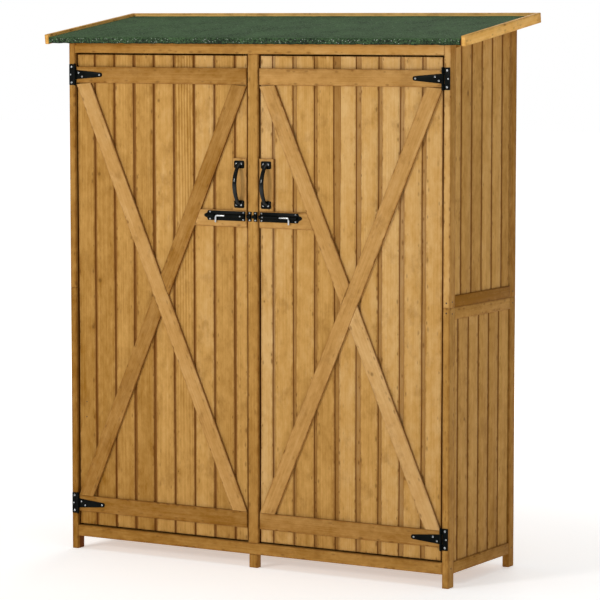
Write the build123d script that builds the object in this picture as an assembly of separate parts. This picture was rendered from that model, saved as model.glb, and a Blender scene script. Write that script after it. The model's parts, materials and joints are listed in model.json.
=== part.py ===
from build123d import *
import os
from math import atan2, cos, degrees, radians, sin, tan

# Wooden tool shed with a single-pitch felted roof and two cross-braced doors, in millimetres.
# +Z is up and the front faces -Y. The origin is on the ground under the middle of the roof's outline.

# Overall size
HEIGHT = 1600.0
FRAME_WIDTH = 1270.0
FRAME_DEPTH = 411.0
ROOF_PITCH_DEG = 7.75
FRONT_OVERHANG = 36.0
BACK_OVERHANG = 27.0
SIDE_OVERHANG = 63.0

# Planed frame timber, one section used on edge or flat
POST_WIDTH = 20.0
POST_DEPTH = 33.0
RAIL_THICKNESS = 20.0
RAIL_HEIGHT = 33.0
HEAD_RAIL_HEIGHT = 36.0
EAVES_RAIL_HEIGHT = 20.0
FOOT_HEIGHT = 39.0
MID_JOINT_HEIGHT = 786.0
CENTRE_POST_WIDTH = 33.0
CENTRE_LEG_WIDTH = 28.0

# Cladding boards and the grooves at their joints
WALL_BOARD_THICKNESS = 10.0
WALL_BOARD_RECESS = 4.0
SIDE_BOARD_PITCH = 63.0
LOWER_SIDE_FIRST_BOARD = 27.0
UPPER_SIDE_FIRST_BOARD = 41.0
BOARD_PITCH = 69.2
GROOVE_WIDTH = 5.0
GROOVE_DEPTH = 3.0

# Floor
FLOOR_THICKNESS = 12.0
BEARER_HEIGHT = 20.0
BEARER_WIDTH = 33.0

# Roof
BARGE_HEIGHT = 28.6
BARGE_THICKNESS = 13.5
BARGE_UPSTAND = 8.0
FELT_THICKNESS = 2.5
FELT_LIP_DROP = 3.0
DECK_THICKNESS = 12.0
DECK_BOARD_PITCH = 88.0

# Doors: upright boards with ledges and an X brace on the face
DOOR_GAP = 5.0
DOOR_BOARD_THICKNESS = 12.0
DOOR_FIRST_BOARD = 61.0
BATTEN_THICKNESS = 8.0
LEDGE_HEIGHT = 47.5
TOP_LEDGE_INSET = 35.0
BOTTOM_LEDGE_INSET = 38.0
BRACE_WIDTH = 48.0
BRACE_END_INSET = 24.5
BLOCK_WIDTH = 47.0
BOLT_BOARD_HEIGHT = 48.0
BOLT_BOARD_DROP = 442.2

# T-hinges
HINGE_LEAF = 2.0
HINGE_PLATE_HEIGHT = 62.0
HINGE_PLATE_MARGIN = 1.0
KNUCKLE_RADIUS = 3.6
KNUCKLE_GAP = 0.5
HINGE_PIN_RADIUS = 2.0
HINGE_PIN_CLEARANCE = 0.08
HINGE_PIN_HEAD = 1.5
HINGE_LEAF_CLEARANCE = 0.8
STRAP_LENGTH = 95.0
STRAP_ROOT_HEIGHT = 28.0
STRAP_TIP_HEIGHT = 13.0

# Arched pull handles
HANDLE_HEIGHT = 136.0
HANDLE_PAD_WIDTH = 33.0
HANDLE_PAD_HEIGHT = 22.0
HANDLE_PAD_THICKNESS = 3.0
HANDLE_PAD_CORNER = 4.0
HANDLE_PAD_MARGIN = 7.0
HANDLE_REACH = 27.0
HANDLE_GRIP_WIDTH = 13.0
HANDLE_GRIP_DEPTH = 8.0
HANDLE_NECK_WIDTH = 9.0
HANDLE_NECK_DEPTH = 8.0
HANDLE_EDGE = 2.0

# Barrel bolts
BOLT_RADIUS = 3.0
BOLT_CLEARANCE = 0.5
BOLT_THROW = 28.0
BOLT_REACH = 91.5
BOLT_DROP = 20.0
BOLT_BEND = 5.0
BOLT_TIP_SPACE = 2.5
BOLT_PLATE_HEIGHT = 28.0
BOLT_PLATE_THICKNESS = 2.0
BOLT_PLATE_INSET = 3.0
BOLT_PLATE_MARGIN = 3.0
BOLT_PLATE_POINT = 14.0
BOLT_STOP_LENGTH = 24.0
BOLT_END_PLAY = 1.0
CHANNEL_WALL = 1.8
KEEPER_WIDTH = 12.0
KEEPER_MARGIN = 1.0

# One overrun for every cut
OVERRUN = 2.0

# Main planes of the frame and the roof's outline over it
ROOF_WIDTH = FRAME_WIDTH + SIDE_OVERHANG + SIDE_OVERHANG
ROOF_DEPTH = FRONT_OVERHANG + FRAME_DEPTH + BACK_OVERHANG
FRONT = FRONT_OVERHANG - ROOF_DEPTH / 2
REAR = FRONT + FRAME_DEPTH
SIDE = FRAME_WIDTH / 2
INNER_SIDE = SIDE - POST_WIDTH
BACK_INNER = REAR - RAIL_THICKNESS
SILL_TOP = FOOT_HEIGHT + RAIL_HEIGHT
POST_FRONT = FRONT + POST_DEPTH
POST_REAR = REAR - POST_DEPTH

# Roof slope, measured along the barge boards' top edge
PITCH = radians(ROOF_PITCH_DEG)
BARGE_RUN = ROOF_DEPTH - BARGE_HEIGHT * sin(PITCH)
BARGE_LENGTH = BARGE_RUN / cos(PITCH)
BARGE_FRONT_TOP = HEIGHT - BARGE_RUN * tan(PITCH)
DECK_DROP = BARGE_UPSTAND + FELT_THICKNESS + DECK_THICKNESS
ROOF = Plane(
    origin=(0, -ROOF_DEPTH / 2, BARGE_FRONT_TOP),
    x_dir=(1, 0, 0),
    z_dir=(0, -sin(PITCH), cos(PITCH)),
)


def under_roof(y):
    """Height of the deck's underside above the ground at depth y."""
    return BARGE_FRONT_TOP + (y + ROOF_DEPTH / 2) * tan(PITCH) - DECK_DROP / cos(PITCH)


HEAD = under_roof(FRONT) - HEAD_RAIL_HEIGHT
BACK_HEAD = under_roof(BACK_INNER) - RAIL_HEIGHT

# Left door outline, hinge axis and the heights of what is fixed to it
DOOR_HINGE_EDGE = -INNER_SIDE + DOOR_GAP
DOOR_FREE_EDGE = -CENTRE_POST_WIDTH / 2 - DOOR_GAP
DOOR_FOOT = SILL_TOP + DOOR_GAP
DOOR_TOP = HEAD - DOOR_GAP
BATTEN_BACK = FRONT + BATTEN_THICKNESS
DOOR_BACK = BATTEN_BACK + DOOR_BOARD_THICKNESS
TOP_LEDGE = DOOR_TOP - TOP_LEDGE_INSET - LEDGE_HEIGHT
BOTTOM_LEDGE = DOOR_FOOT + BOTTOM_LEDGE_INSET
LEDGE_CENTRES = [ledge + LEDGE_HEIGHT / 2 for ledge in (BOTTOM_LEDGE, TOP_LEDGE)]
FIELD_FOOT = BOTTOM_LEDGE + LEDGE_HEIGHT
FIELD_TOP = TOP_LEDGE
BOLT_BOARD_TOP = DOOR_TOP - BOLT_BOARD_DROP
HANDLE_CENTRE = BOLT_BOARD_TOP + HANDLE_PAD_MARGIN + HANDLE_HEIGHT / 2
HINGE_X = -INNER_SIDE + DOOR_GAP / 2
HINGE_Y = FRONT - KNUCKLE_RADIUS

# Left bolt: axis, tip when withdrawn, bend and the window that the bend slides along
BOLT_Y = FRONT - BOLT_PLATE_THICKNESS - BOLT_CLEARANCE - BOLT_RADIUS
BOLT_Z = BOLT_BOARD_TOP - BOLT_PLATE_MARGIN - BOLT_PLATE_HEIGHT / 2
BOLT_TIP = -BOLT_TIP_SPACE - BOLT_THROW
BOLT_BEND_X = BOLT_TIP - BOLT_REACH
WINDOW_OUTER = BOLT_BEND_X - BOLT_RADIUS - BOLT_END_PLAY
WINDOW_INNER = BOLT_BEND_X + BOLT_THROW + BOLT_RADIUS + BOLT_END_PLAY
BOLT_PLATE_INNER = DOOR_FREE_EDGE - BOLT_PLATE_INSET
BOLT_PLATE_SHOULDER = WINDOW_OUTER - BOLT_STOP_LENGTH
BOLT_PLATE_OUTER = BOLT_PLATE_SHOULDER - BOLT_PLATE_POINT

parts = {}


def block(x0, x1, y0, y1, z0, z1):
    """Square-cut timber or plate between two opposite corners."""
    centre = Pos((x0 + x1) / 2, (y0 + y1) / 2, (z0 + z1) / 2)
    return centre * Box(x1 - x0, y1 - y0, z1 - z0)


def side_prism(x0, x1, outline):
    """Prism across the shed from x0 to x1 on an outline of (y, z) points."""
    face = make_face(Polyline(*[(x0, y, z) for y, z in outline], close=True))
    return extrude(face, amount=x1 - x0, dir=(1, 0, 0))


def under_roof_block(x0, x1, y0, y1, z0):
    """Upright piece from z0 up to the deck, its top cut to the roof's slope."""
    return side_prism(x0, x1, [(y0, z0), (y1, z0), (y1, under_roof(y1)), (y0, under_roof(y0))])


def front_plate(outline, y0, y1):
    """Flat piece parallel to the front, on an outline of (x, z) points, from y0 back to y1."""
    face = make_face(Polyline(*[(x, y0, z) for x, z in outline], close=True))
    return extrude(face, amount=y1 - y0, dir=(0, 1, 0))


def x_cylinder(x0, x1, y, z, radius):
    """Round bar along X."""
    return Pos((x0 + x1) / 2, y, z) * Rot(0, 90, 0) * Cylinder(radius, x1 - x0)


def z_cylinder(x, y, z0, z1, radius):
    """Round bar along Z."""
    return Pos(x, y, (z0 + z1) / 2) * Cylinder(radius, z1 - z0)


def joined(pieces):
    """Like pieces as one shape."""
    return Part() + list(pieces)


def mirrored(shape):
    """The same piece on the other side of the shed."""
    return mirror(shape, about=Plane.YZ)


def board_joints(start, end, first, pitch):
    """Places of the joints between boards: a first narrower board, then whole ones."""
    places = []
    place = start + first
    while place < end - GROOVE_WIDTH:
        places.append(place)
        place += pitch
    return places


def v_groove(start, end, outward):
    """V-shaped groove along a board joint, open towards the outward direction."""
    run = Vector(*end) - Vector(*start)
    lead = run.normalized() * OVERRUN
    half = GROOVE_WIDTH / 2
    section = Polyline(
        (OVERRUN, -half), (0, -half), (-GROOVE_DEPTH, 0), (0, half), (OVERRUN, half), close=True
    )
    plane = Plane(origin=Vector(*start) - lead, x_dir=outward, z_dir=run)
    return extrude(plane * make_face(section), amount=run.length + OVERRUN + OVERRUN)


# Corner posts: each stands on the ground as a leg and is jointed end to end at the middle
def corner_posts(make_post):
    """Four posts, made on the left at the front and the back and mirrored to the right."""
    left = [make_post(-SIDE, -INNER_SIDE, y0, y0 + POST_DEPTH) for y0 in (FRONT, POST_REAR)]
    return joined(left + [mirrored(post) for post in left])


def lower_post(x0, x1, y0, y1):
    return block(x0, x1, y0, y1, 0, MID_JOINT_HEIGHT)


def upper_post(x0, x1, y0, y1):
    return under_roof_block(x0, x1, y0, y1, MID_JOINT_HEIGHT)


parts["lower_corner_posts"] = corner_posts(lower_post)
parts["upper_corner_posts"] = corner_posts(upper_post)


# Side walls: a lower and an upper panel of upright boards between rails
def side_rail(z0):
    """Level rail between the left-hand posts."""
    return block(-SIDE, -INNER_SIDE, POST_FRONT, POST_REAR, z0, z0 + RAIL_HEIGHT)


def eaves_line(y):
    """Height of the sloping eaves rail's lower edge."""
    return under_roof(y) - EAVES_RAIL_HEIGHT / cos(PITCH)


def eaves_rail():
    """Sloping rail under the deck, between the left-hand posts."""
    outline = [(y, eaves_line(y)) for y in (POST_FRONT, POST_REAR)]
    outline += [(y, under_roof(y)) for y in (POST_REAR, POST_FRONT)]
    return side_prism(-SIDE, -INNER_SIDE, outline)


def side_boards(z0, front_top, rear_top, first):
    """Left-hand boards between posts and rails, grooved on the outside."""
    outer = WALL_BOARD_RECESS - SIDE
    outline = [(POST_FRONT, z0), (POST_REAR, z0), (POST_REAR, rear_top), (POST_FRONT, front_top)]
    panel = side_prism(outer, outer + WALL_BOARD_THICKNESS, outline)
    for y in board_joints(POST_FRONT, POST_REAR, first, SIDE_BOARD_PITCH):
        panel -= v_groove((outer, y, z0), (outer, y, rear_top), (-1, 0, 0))
    return panel


lower_rails = joined([side_rail(FOOT_HEIGHT), side_rail(MID_JOINT_HEIGHT - RAIL_HEIGHT)])
upper_rails = joined([side_rail(MID_JOINT_HEIGHT), eaves_rail()])
lower_top = MID_JOINT_HEIGHT - RAIL_HEIGHT
lower_boards = side_boards(SILL_TOP, lower_top, lower_top, LOWER_SIDE_FIRST_BOARD)
upper_boards = side_boards(
    MID_JOINT_HEIGHT + RAIL_HEIGHT, eaves_line(POST_FRONT), eaves_line(POST_REAR), UPPER_SIDE_FIRST_BOARD
)
for name, shape in [
    ("lower_rails", lower_rails),
    ("lower_boards", lower_boards),
    ("upper_rails", upper_rails),
    ("upper_boards", upper_boards),
]:
    parts["left_" + name] = shape
    parts["right_" + name] = mirrored(shape)

# Front frame: sill and head rails between the corner posts, a centre post and its leg
RAIL_BACK = FRONT + RAIL_THICKNESS
parts["front_sill_rail"] = block(-INNER_SIDE, INNER_SIDE, FRONT, RAIL_BACK, FOOT_HEIGHT, SILL_TOP)
parts["front_head_rail"] = under_roof_block(-INNER_SIDE, INNER_SIDE, FRONT, RAIL_BACK, HEAD)
half_post = CENTRE_POST_WIDTH / 2
half_leg = CENTRE_LEG_WIDTH / 2
parts["front_centre_post"] = joined(
    [
        block(-half_post, half_post, FRONT, RAIL_BACK, SILL_TOP, HEAD),
        block(-half_leg, half_leg, FRONT, RAIL_BACK, 0, FOOT_HEIGHT),
    ]
)

# Back wall: lower and upper rails, short centre posts and boards on each side of them
UPPER_BACK_FOOT = MID_JOINT_HEIGHT + RAIL_HEIGHT


def back_rail(z0):
    """Level rail between the rear posts."""
    return block(-INNER_SIDE, INNER_SIDE, BACK_INNER, REAR, z0, z0 + RAIL_HEIGHT)


def back_boards(z0, z1):
    """Boards of one storey on the left of the centre post, grooved on the outside."""
    outer = REAR - WALL_BOARD_RECESS
    panel = block(-INNER_SIDE, -half_post, outer - WALL_BOARD_THICKNESS, outer, z0, z1)
    for x in board_joints(-INNER_SIDE, -half_post, DOOR_FIRST_BOARD, BOARD_PITCH):
        panel -= v_groove((x, outer, z0), (x, outer, z1), (0, 1, 0))
    return panel


parts["back_lower_rails"] = joined([back_rail(FOOT_HEIGHT), back_rail(lower_top)])
parts["back_upper_rails"] = joined(
    [back_rail(MID_JOINT_HEIGHT), under_roof_block(-INNER_SIDE, INNER_SIDE, BACK_INNER, REAR, BACK_HEAD)]
)
parts["back_centre_posts"] = joined(
    [
        block(-half_post, half_post, BACK_INNER, REAR, SILL_TOP, lower_top),
        block(-half_post, half_post, BACK_INNER, REAR, UPPER_BACK_FOOT, BACK_HEAD),
        block(-half_leg, half_leg, BACK_INNER, REAR, 0, FOOT_HEIGHT),
    ]
)
left_back = [back_boards(SILL_TOP, lower_top), back_boards(UPPER_BACK_FOOT, BACK_HEAD)]
parts["back_boards"] = joined(left_back + [mirrored(panel) for panel in left_back])

# Floor: boards on two bearers, level with the sill rails' tops
FLOOR_FOOT = SILL_TOP - FLOOR_THICKNESS
floor = block(-INNER_SIDE, INNER_SIDE, RAIL_BACK, BACK_INNER, FLOOR_FOOT, SILL_TOP)
for x in board_joints(-INNER_SIDE, INNER_SIDE, BOARD_PITCH, BOARD_PITCH):
    floor -= v_groove((x, RAIL_BACK, SILL_TOP), (x, BACK_INNER, SILL_TOP), (0, 0, 1))
parts["floor_boards"] = floor
bearer_foot = FLOOR_FOOT - BEARER_HEIGHT
parts["floor_bearers"] = joined(
    [
        block(-INNER_SIDE, INNER_SIDE, y0, y0 + BEARER_WIDTH, bearer_foot, FLOOR_FOOT)
        for y0 in (RAIL_BACK, BACK_INNER - BEARER_WIDTH)
    ]
)

# Roof: a boarded deck, felt turned down at the front, barge boards and a back trim board.
# Each is drawn on the roof's own plane, level with the barge boards' tops.
HALF_ROOF = ROOF_WIDTH / 2
HALF_DECK = HALF_ROOF - BARGE_THICKNESS
TRIM_FRONT = BARGE_LENGTH - BARGE_THICKNESS
DECK_TOP = -BARGE_UPSTAND - FELT_THICKNESS

deck = block(-HALF_DECK, HALF_DECK, FELT_THICKNESS, TRIM_FRONT, -DECK_DROP, DECK_TOP)
for y in board_joints(FELT_THICKNESS, TRIM_FRONT, DECK_BOARD_PITCH, DECK_BOARD_PITCH):
    deck -= v_groove((-HALF_DECK, y, -DECK_DROP), (HALF_DECK, y, -DECK_DROP), (0, 0, -1))
parts["roof_deck"] = ROOF * deck

felt = block(-HALF_DECK, HALF_DECK, 0, TRIM_FRONT, DECK_TOP, -BARGE_UPSTAND)
felt += block(-HALF_DECK, HALF_DECK, 0, FELT_THICKNESS, -DECK_DROP - FELT_LIP_DROP, DECK_TOP)
parts["roof_felt"] = ROOF * felt

left_barge = ROOF * block(-HALF_ROOF, -HALF_DECK, 0, BARGE_LENGTH, -BARGE_HEIGHT, 0)
parts["barge_boards"] = joined([left_barge, mirrored(left_barge)])
parts["back_trim_board"] = ROOF * block(-HALF_DECK, HALF_DECK, TRIM_FRONT, BARGE_LENGTH, -BARGE_HEIGHT, 0)


# Doors: each piece is made for the left door and mirrored to the right
def door_boards():
    """Upright boards, grooved on the face."""
    panel = block(DOOR_HINGE_EDGE, DOOR_FREE_EDGE, BATTEN_BACK, DOOR_BACK, DOOR_FOOT, DOOR_TOP)
    for x in board_joints(DOOR_HINGE_EDGE, DOOR_FREE_EDGE, DOOR_FIRST_BOARD, BOARD_PITCH):
        panel -= v_groove((x, BATTEN_BACK, DOOR_FOOT), (x, BATTEN_BACK, DOOR_TOP), (0, -1, 0))
    return panel


def door_ledges():
    """Level battens near the door's top and foot."""
    return joined(
        block(DOOR_HINGE_EDGE, DOOR_FREE_EDGE, FRONT, BATTEN_BACK, z0, z0 + LEDGE_HEIGHT)
        for z0 in (BOTTOM_LEDGE, TOP_LEDGE)
    )


BRACE_TOP_X = DOOR_HINGE_EDGE + BRACE_END_INSET
BRACE_FOOT_X = DOOR_FREE_EDGE - BRACE_END_INSET
BRACE_LEAN = (BRACE_FOOT_X - BRACE_TOP_X) / (FIELD_TOP - FIELD_FOOT)
BRACE_LEAN_DEG = degrees(atan2(BRACE_FOOT_X - BRACE_TOP_X, FIELD_TOP - FIELD_FOOT))
FIELD_CENTRE_X = (DOOR_HINGE_EDGE + DOOR_FREE_EDGE) / 2
FIELD_CENTRE_Z = (FIELD_FOOT + FIELD_TOP) / 2


def diagonal(lean_deg):
    """Batten across the field between the ledges, its ends cut to the ledges and the door's edges."""
    field = block(DOOR_HINGE_EDGE, DOOR_FREE_EDGE, FRONT, BATTEN_BACK, FIELD_FOOT, FIELD_TOP)
    length = (FIELD_TOP - FIELD_FOOT) + (DOOR_FREE_EDGE - DOOR_HINGE_EDGE)
    batten = Box(BRACE_WIDTH, BATTEN_THICKNESS, length)
    place = Pos(FIELD_CENTRE_X, FRONT + BATTEN_THICKNESS / 2, FIELD_CENTRE_Z) * Rot(0, lean_deg, 0)
    return field & (place * batten)


def half_brace_edge(z):
    """Free-side edge of the half braces' line at height z, where the bolt board meets it."""
    middle = BRACE_TOP_X + (z - FIELD_FOOT) * BRACE_LEAN
    return middle + BRACE_WIDTH / 2 / cos(radians(BRACE_LEAN_DEG))


def bolt_board():
    """Level batten from the half brace to the free edge, its outer end cut along the brace."""
    foot = BOLT_BOARD_TOP - BOLT_BOARD_HEIGHT
    outline = [
        (half_brace_edge(foot), foot),
        (DOOR_FREE_EDGE, foot),
        (DOOR_FREE_EDGE, BOLT_BOARD_TOP),
        (half_brace_edge(BOLT_BOARD_TOP), BOLT_BOARD_TOP),
    ]
    return front_plate(outline, FRONT, BATTEN_BACK)


def handle_block():
    """Upright batten behind the handle, on top of the bolt board at the free edge."""
    top = BOLT_BOARD_TOP + HANDLE_HEIGHT + HANDLE_PAD_MARGIN + HANDLE_PAD_MARGIN
    return block(DOOR_FREE_EDGE - BLOCK_WIDTH, DOOR_FREE_EDGE, FRONT, BATTEN_BACK, BOLT_BOARD_TOP, top)


# T-hinges: a plate with two knuckles and a pin on the post, a tapered strap on the door's ledge
STRAP_KNUCKLE_HALF = STRAP_ROOT_HEIGHT / 2


def hinge_plate(z):
    """Plate screwed to the post, its outer knuckles and the pin through them."""
    half = HINGE_PLATE_HEIGHT / 2
    inner = STRAP_KNUCKLE_HALF + KNUCKLE_GAP
    plate = block(-SIDE + HINGE_PLATE_MARGIN, HINGE_X, FRONT - HINGE_LEAF, FRONT, z - half, z + half)
    notch_edge = HINGE_X - KNUCKLE_RADIUS - HINGE_LEAF_CLEARANCE
    plate -= block(
        notch_edge, HINGE_X + OVERRUN, FRONT - HINGE_LEAF - OVERRUN, FRONT + OVERRUN, z - inner, z + inner
    )
    plate += z_cylinder(HINGE_X, HINGE_Y, z - half, z - inner, KNUCKLE_RADIUS)
    plate += z_cylinder(HINGE_X, HINGE_Y, z + inner, z + half, KNUCKLE_RADIUS)
    pin_half = half + HINGE_PIN_HEAD
    return plate + z_cylinder(HINGE_X, HINGE_Y, z - pin_half, z + pin_half, HINGE_PIN_RADIUS)


def hinge_strap(z):
    """Tapered strap with a rounded tip, rolled round the pin at its root."""
    tip_radius = STRAP_TIP_HEIGHT / 2
    tip_x = HINGE_X + STRAP_LENGTH
    edges = Polyline(
        (tip_x - tip_radius, FRONT, z + tip_radius),
        (HINGE_X, FRONT, z + STRAP_KNUCKLE_HALF),
        (HINGE_X, FRONT, z - STRAP_KNUCKLE_HALF),
        (tip_x - tip_radius, FRONT, z - tip_radius),
    )
    tip = ThreePointArc(edges @ 1, (tip_x, FRONT, z), edges @ 0)
    strap = extrude(make_face(edges + tip), amount=HINGE_LEAF, dir=(0, -1, 0))
    foot, top = z - STRAP_KNUCKLE_HALF, z + STRAP_KNUCKLE_HALF
    strap += z_cylinder(HINGE_X, HINGE_Y, foot, top, KNUCKLE_RADIUS)
    bore = HINGE_PIN_RADIUS + HINGE_PIN_CLEARANCE
    return strap - z_cylinder(HINGE_X, HINGE_Y, foot - OVERRUN, top + OVERRUN, bore)


left_plates = [hinge_plate(z) for z in LEDGE_CENTRES]
parts["hinge_plates"] = joined(left_plates + [mirrored(plate) for plate in left_plates])


def arc_lens(start_pair, middle_pair, end_pair):
    """Face between two arcs, each through its own start, middle and end point."""
    arcs = [ThreePointArc(*points) for points in zip(start_pair, middle_pair, end_pair)]
    return make_face(arcs + [Line(*start_pair), Line(*end_pair)])


def pull_handle():
    """Arched pull: two rounded pads and a bow that swells towards the middle, with eased edges."""
    x = DOOR_FREE_EDGE - BLOCK_WIDTH / 2
    half_span = (HANDLE_HEIGHT - HANDLE_PAD_HEIGHT) / 2
    foot = FRONT - HANDLE_PAD_THICKNESS
    reach = FRONT - HANDLE_REACH
    half_neck, half_depth = HANDLE_NECK_DEPTH / 2, HANDLE_GRIP_DEPTH / 2
    x0, x1 = x - HANDLE_GRIP_WIDTH / 2, x + HANDLE_GRIP_WIDTH / 2
    low, high = HANDLE_CENTRE - half_span, HANDLE_CENTRE + half_span
    arch = arc_lens(
        [(x0, foot, low - half_neck), (x0, foot, low + half_neck)],
        [(x0, reach - half_depth, HANDLE_CENTRE), (x0, reach + half_depth, HANDLE_CENTRE)],
        [(x0, foot, high + half_neck), (x0, foot, high - half_neck)],
    )
    neck0, neck1 = x - HANDLE_NECK_WIDTH / 2, x + HANDLE_NECK_WIDTH / 2
    taper = arc_lens(
        [(neck0, FRONT, low - HANDLE_NECK_DEPTH), (neck1, FRONT, low - HANDLE_NECK_DEPTH)],
        [(x0, FRONT, HANDLE_CENTRE), (x1, FRONT, HANDLE_CENTRE)],
        [(neck0, FRONT, high + HANDLE_NECK_DEPTH), (neck1, FRONT, high + HANDLE_NECK_DEPTH)],
    )
    bow = extrude(arch, amount=HANDLE_GRIP_WIDTH, dir=(1, 0, 0))
    bow &= extrude(taper, amount=HANDLE_REACH + HANDLE_GRIP_DEPTH, dir=(0, -1, 0))
    handle = chamfer(bow.edges().sort_by(SortBy.LENGTH)[-4:], HANDLE_EDGE)
    for z in (low, high):
        face = Plane(origin=(x, FRONT, z), x_dir=(1, 0, 0), z_dir=(0, -1, 0))
        outline = RectangleRounded(HANDLE_PAD_WIDTH, HANDLE_PAD_HEIGHT, HANDLE_PAD_CORNER)
        handle += extrude(face * outline, amount=HANDLE_PAD_THICKNESS)
    return handle


# Barrel bolts: a plate with an arched channel and a bent rod on the door, a keeper on the centre post
CHANNEL_RADIUS = BOLT_RADIUS + BOLT_CLEARANCE
CHANNEL_OUTER = CHANNEL_RADIUS + CHANNEL_WALL
PLATE_FACE = FRONT - BOLT_PLATE_THICKNESS


def channel(x0, x1):
    """Arched channel over the rod, standing on its plate."""
    arch = block(x0, x1, BOLT_Y, PLATE_FACE, BOLT_Z - CHANNEL_OUTER, BOLT_Z + CHANNEL_OUTER)
    arch += x_cylinder(x0, x1, BOLT_Y, BOLT_Z, CHANNEL_OUTER)
    cut0, cut1 = x0 - OVERRUN, x1 + OVERRUN
    hollow = block(cut0, cut1, BOLT_Y, PLATE_FACE, BOLT_Z - CHANNEL_RADIUS, BOLT_Z + CHANNEL_RADIUS)
    hollow += x_cylinder(cut0, cut1, BOLT_Y, BOLT_Z, CHANNEL_RADIUS)
    return arch - hollow


def bolt_housing():
    """Plate with a pointed outer end, and the channel on each side of the rod's window."""
    half = BOLT_PLATE_HEIGHT / 2
    outline = [
        (BOLT_PLATE_OUTER, BOLT_Z),
        (BOLT_PLATE_SHOULDER, BOLT_Z - half),
        (BOLT_PLATE_INNER, BOLT_Z - half),
        (BOLT_PLATE_INNER, BOLT_Z + half),
        (BOLT_PLATE_SHOULDER, BOLT_Z + half),
    ]
    plate = front_plate(outline, PLATE_FACE, FRONT)
    plate += channel(WINDOW_INNER, BOLT_PLATE_INNER)
    return plate + channel(BOLT_PLATE_SHOULDER, WINDOW_OUTER)


def bolt_rod():
    """Round rod, bent down at its outer end as a finger pull."""
    path = FilletPolyline(
        (BOLT_TIP, BOLT_Y, BOLT_Z),
        (BOLT_BEND_X, BOLT_Y, BOLT_Z),
        (BOLT_BEND_X, BOLT_Y, BOLT_Z - BOLT_DROP),
        radius=BOLT_BEND,
    )
    return sweep(Plane(origin=path @ 0, z_dir=path % 0) * Circle(BOLT_RADIUS), path=path)


def keeper():
    """Small plate and arch on the centre post that takes the thrown rod."""
    x0 = -half_post + KEEPER_MARGIN
    x1 = x0 + KEEPER_WIDTH
    half = BOLT_PLATE_HEIGHT / 2
    return block(x0, x1, PLATE_FACE, FRONT, BOLT_Z - half, BOLT_Z + half) + channel(x0, x1)


left_keeper = keeper()
parts["bolt_keepers"] = joined([left_keeper, mirrored(left_keeper)])

main_brace = diagonal(-BRACE_LEAN_DEG)
for name, shape in [
    ("door_boards", door_boards()),
    ("door_ledges", door_ledges()),
    ("door_main_brace", main_brace),
    ("door_half_braces", diagonal(BRACE_LEAN_DEG) - main_brace),
    ("door_bolt_board", bolt_board()),
    ("door_handle_block", handle_block()),
    ("hinge_straps", joined(hinge_strap(z) for z in LEDGE_CENTRES)),
    ("pull_handle", pull_handle()),
    ("bolt_housing", bolt_housing()),
    ("bolt_rod", bolt_rod()),
]:
    parts["left_" + name] = shape
    parts["right_" + name] = mirrored(shape)

os.makedirs("parts", exist_ok=True)
for name, shape in parts.items():
    export_step(shape, f"parts/{name}.step")
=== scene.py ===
import json
import math
import random
import bmesh
import bpy
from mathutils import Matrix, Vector, noise


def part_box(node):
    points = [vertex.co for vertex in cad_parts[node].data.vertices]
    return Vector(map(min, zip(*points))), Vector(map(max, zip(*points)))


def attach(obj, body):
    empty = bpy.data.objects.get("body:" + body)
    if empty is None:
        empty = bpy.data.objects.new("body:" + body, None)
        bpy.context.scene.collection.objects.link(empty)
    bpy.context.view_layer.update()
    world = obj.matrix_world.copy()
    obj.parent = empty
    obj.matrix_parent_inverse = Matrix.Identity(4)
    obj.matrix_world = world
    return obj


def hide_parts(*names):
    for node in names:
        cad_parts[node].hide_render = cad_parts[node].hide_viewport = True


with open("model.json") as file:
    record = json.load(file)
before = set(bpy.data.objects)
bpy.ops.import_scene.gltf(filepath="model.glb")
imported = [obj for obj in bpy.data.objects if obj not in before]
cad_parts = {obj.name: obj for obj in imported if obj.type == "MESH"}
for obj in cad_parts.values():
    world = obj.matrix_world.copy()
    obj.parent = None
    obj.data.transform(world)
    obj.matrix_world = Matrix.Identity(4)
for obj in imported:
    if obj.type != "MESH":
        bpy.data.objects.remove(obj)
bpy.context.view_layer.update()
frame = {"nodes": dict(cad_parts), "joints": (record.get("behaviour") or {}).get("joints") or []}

# Corner posts
# Four planed fir posts, each in two lengths butted at mid height, the lower ones standing on the ground.
# They are brushed with honey-brown wood stain, which gathers along the eased arrises. Every timber is also
# painted darker towards the foot, as painted shade.
MM = 0.001
ARRIS = 1.5
ON_FACE = 0.15
END_FACING = 0.3
WALL_TOP = 1540.0
# Painted shade: all timber and boards darken towards the foot.
FOOT_PAINTED_SHADE = 0.18
FOOT_FADE = 1.35
TONE_SPREAD = 0.06
TIMBER_FIGURE = 0.02
FIGURE_SPREAD = (0.3, 1.7)
MERGE = 0.01 * MM
FLAT_ANGLE = math.radians(1)
SHARP_ANGLE = math.radians(42)
GRAIN_MARKS = ("grain", "half", "draw", "look")
dice = random.Random(31)


def linear(hex_colour):
    """Linear RGBA of an sRGB hex colour."""
    shares = [int(hex_colour[i : i + 2], 16) / 255 for i in (1, 3, 5)]
    curve = [s / 12.92 if s <= 0.04045 else ((s + 0.055) / 1.055) ** 2.4 for s in shares]
    return (*curve, 1.0)


def add(tree, kind, sockets=(), **settings):
    """A new shader node with its settings; each socket is set to a value or linked to a node or an output."""
    made = tree.nodes.new("ShaderNode" + kind)
    for setting, value in settings.items():
        setattr(made, setting, value)
    for socket, value in dict(sockets).items():
        if isinstance(value, bpy.types.Node):
            tree.links.new(value.outputs[0], made.inputs[socket])
        elif isinstance(value, bpy.types.NodeSocket):
            tree.links.new(value, made.inputs[socket])
        else:
            made.inputs[socket].default_value = value
    return made


def new_material(name):
    """An empty material with a principled shader, its node tree and that shader."""
    material = bpy.data.materials.new(name)
    material.use_nodes = True
    return material, material.node_tree, material.node_tree.nodes["Principled BSDF"]


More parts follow.
